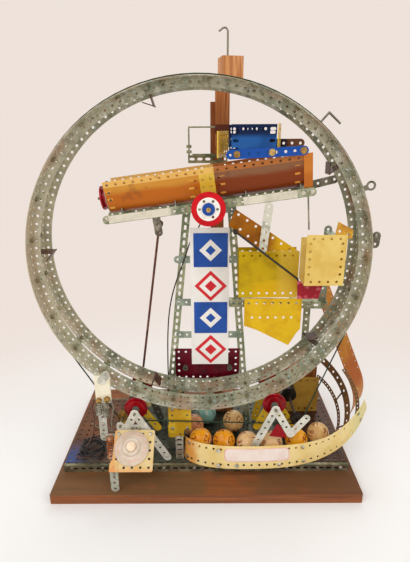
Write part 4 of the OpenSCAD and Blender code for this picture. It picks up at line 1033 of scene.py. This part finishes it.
def plate_screws():
    root, brass = Pile(), Pile()
    front = (0, -1, 0)
    girder_y, girder_z, hopper_y = -97, 24.35, -50

    def bolt(x, y, z, turn):
        screw(root, (x, y, z), front, turn)
        nut(root, (x, y + METAL_T, z), (0, 1, 0), turn * 0.4)

    for x in (-118.65, -105.95):
        bolt(x, -89, 98, x)
    for y, z in ((-90, 81.2), (-89, 106.6)):
        bolt(-165.65, y, z, z)
    for x, z in ((-56.45, 74.55), (-31.05, 74.55), (-56.45, 112.65)):
        bolt(x, -58.9, z, x)
    for u, v in ((57.15, 57.15), (6.35, 57.15)):
        spot = button_place(u, v, 0)
        screw(root, spot, button_place(u, v, -1) - spot, u, radius=2.8, height=1.5)
    for x in (-222.3, -171.5, -120.7, -69.9, -19.1, 31.7, 82.5, 133.3, 184.1, 222.2):
        screw(root, (x, girder_y, girder_z), front, x, radius=2.7)
    root.piece("plate_screws", "nickel", "zinc", smooth=True)
    for k, (x, z) in enumerate(((45.5, 521.4), (94.5, 524.0), (138, 526.3))):
        screw(brass, (x, hopper_y, z), front, 0.4 + k, radius=3.3, height=2.0, washer=1.5)
    for at, turn, radius, height in (((ROCK_CENTRE[0], -69, ROCK_CENTRE[1]), 0.9, 3.4, 2.2),
                                     ((-167, -97, 155), 0.5, 3.6, 1.8), ((-154, -97, 157), 1.4, 4.0, 1.8)):
        screw(brass, at, front, turn, radius, height)
    brass.piece("brass_screws", "brass", "brass", smooth=True)


make_guard()
make_track()
make_leads()
make_sign()
make_rail_labels()
make_balls()
plate_screws()


# The paint that each node of the CAD wears

for paint, nodes in {
    "base_wood": "base_board",
    "deck_girder": "deck_girders",
    "deck_brown": "deck_plate_left deck_plate_right",
    "deck_dark": "deck_plate_centre",
    "frame_metal": "tower_legs side_girders crown_girder cross_bars trough_rails",
    "tower_paint": "tower_plates",
    "brass": "pivot_axle idler_pulley",
    "black_steel": "motor_pulley",
    "dull_brass": "ring_bolts",
    "guard_metal": "guard_bolts",
    "disc": "roundel",
    "white_board": "sign_board",
    "bracket_paint": "roller_brackets",
    "pale_strip": "contact_stand",
    "bracket_amber": "box_bracket",
    "dull_steel": "roller_shafts rock_arm hook_wire trip_arms",
    "cord": "drive_cord",
    "motor_black": "motor",
    "ochre_plate": "motor_mount",
    "pine": "post_timbers foot_blocks",
    "pine_block": "top_block",
    "hopper_blue": "hopper_walls",
    "carrier_paint": "hopper_carrier",
    "gold_plate": "hopper_ends",
    "yellow_plate": "deck_upright",
    "apron_yellow": "chute_apron",
    "box_yellow": "receiving_box",
    "brace_amber": "diagonal_plate",
    "lemon_plate": "chute_walls",
    "chute_amber": "outer_chute",
    "cream_plate": "rock_lever",
    "button_cream": "button_plate",
    "block_cream": "contact_block",
    "porcelain": "push_housing",
    "ivory_push": "push_button",
    "wheel_metal": "front_ring rear_ring",
    "scoop_brown": "ball_scoops",
    "trough_amber": "trough_left",
    "trough_yellow": "trough_middle",
    "trough_brown": "trough_right",
    "cradle_paint": "trough_cradles",
    "crimson": "left_rollers right_rollers",
    "end_crimson": "end_pulley",
    "rusty_rod": "push_rod",
}.items():
    for node in nodes.split():
        for slot in NODES[node].material_slots:
            slot.material = PAINTS[paint].material

SCENE.view_settings.view_transform = "Standard"
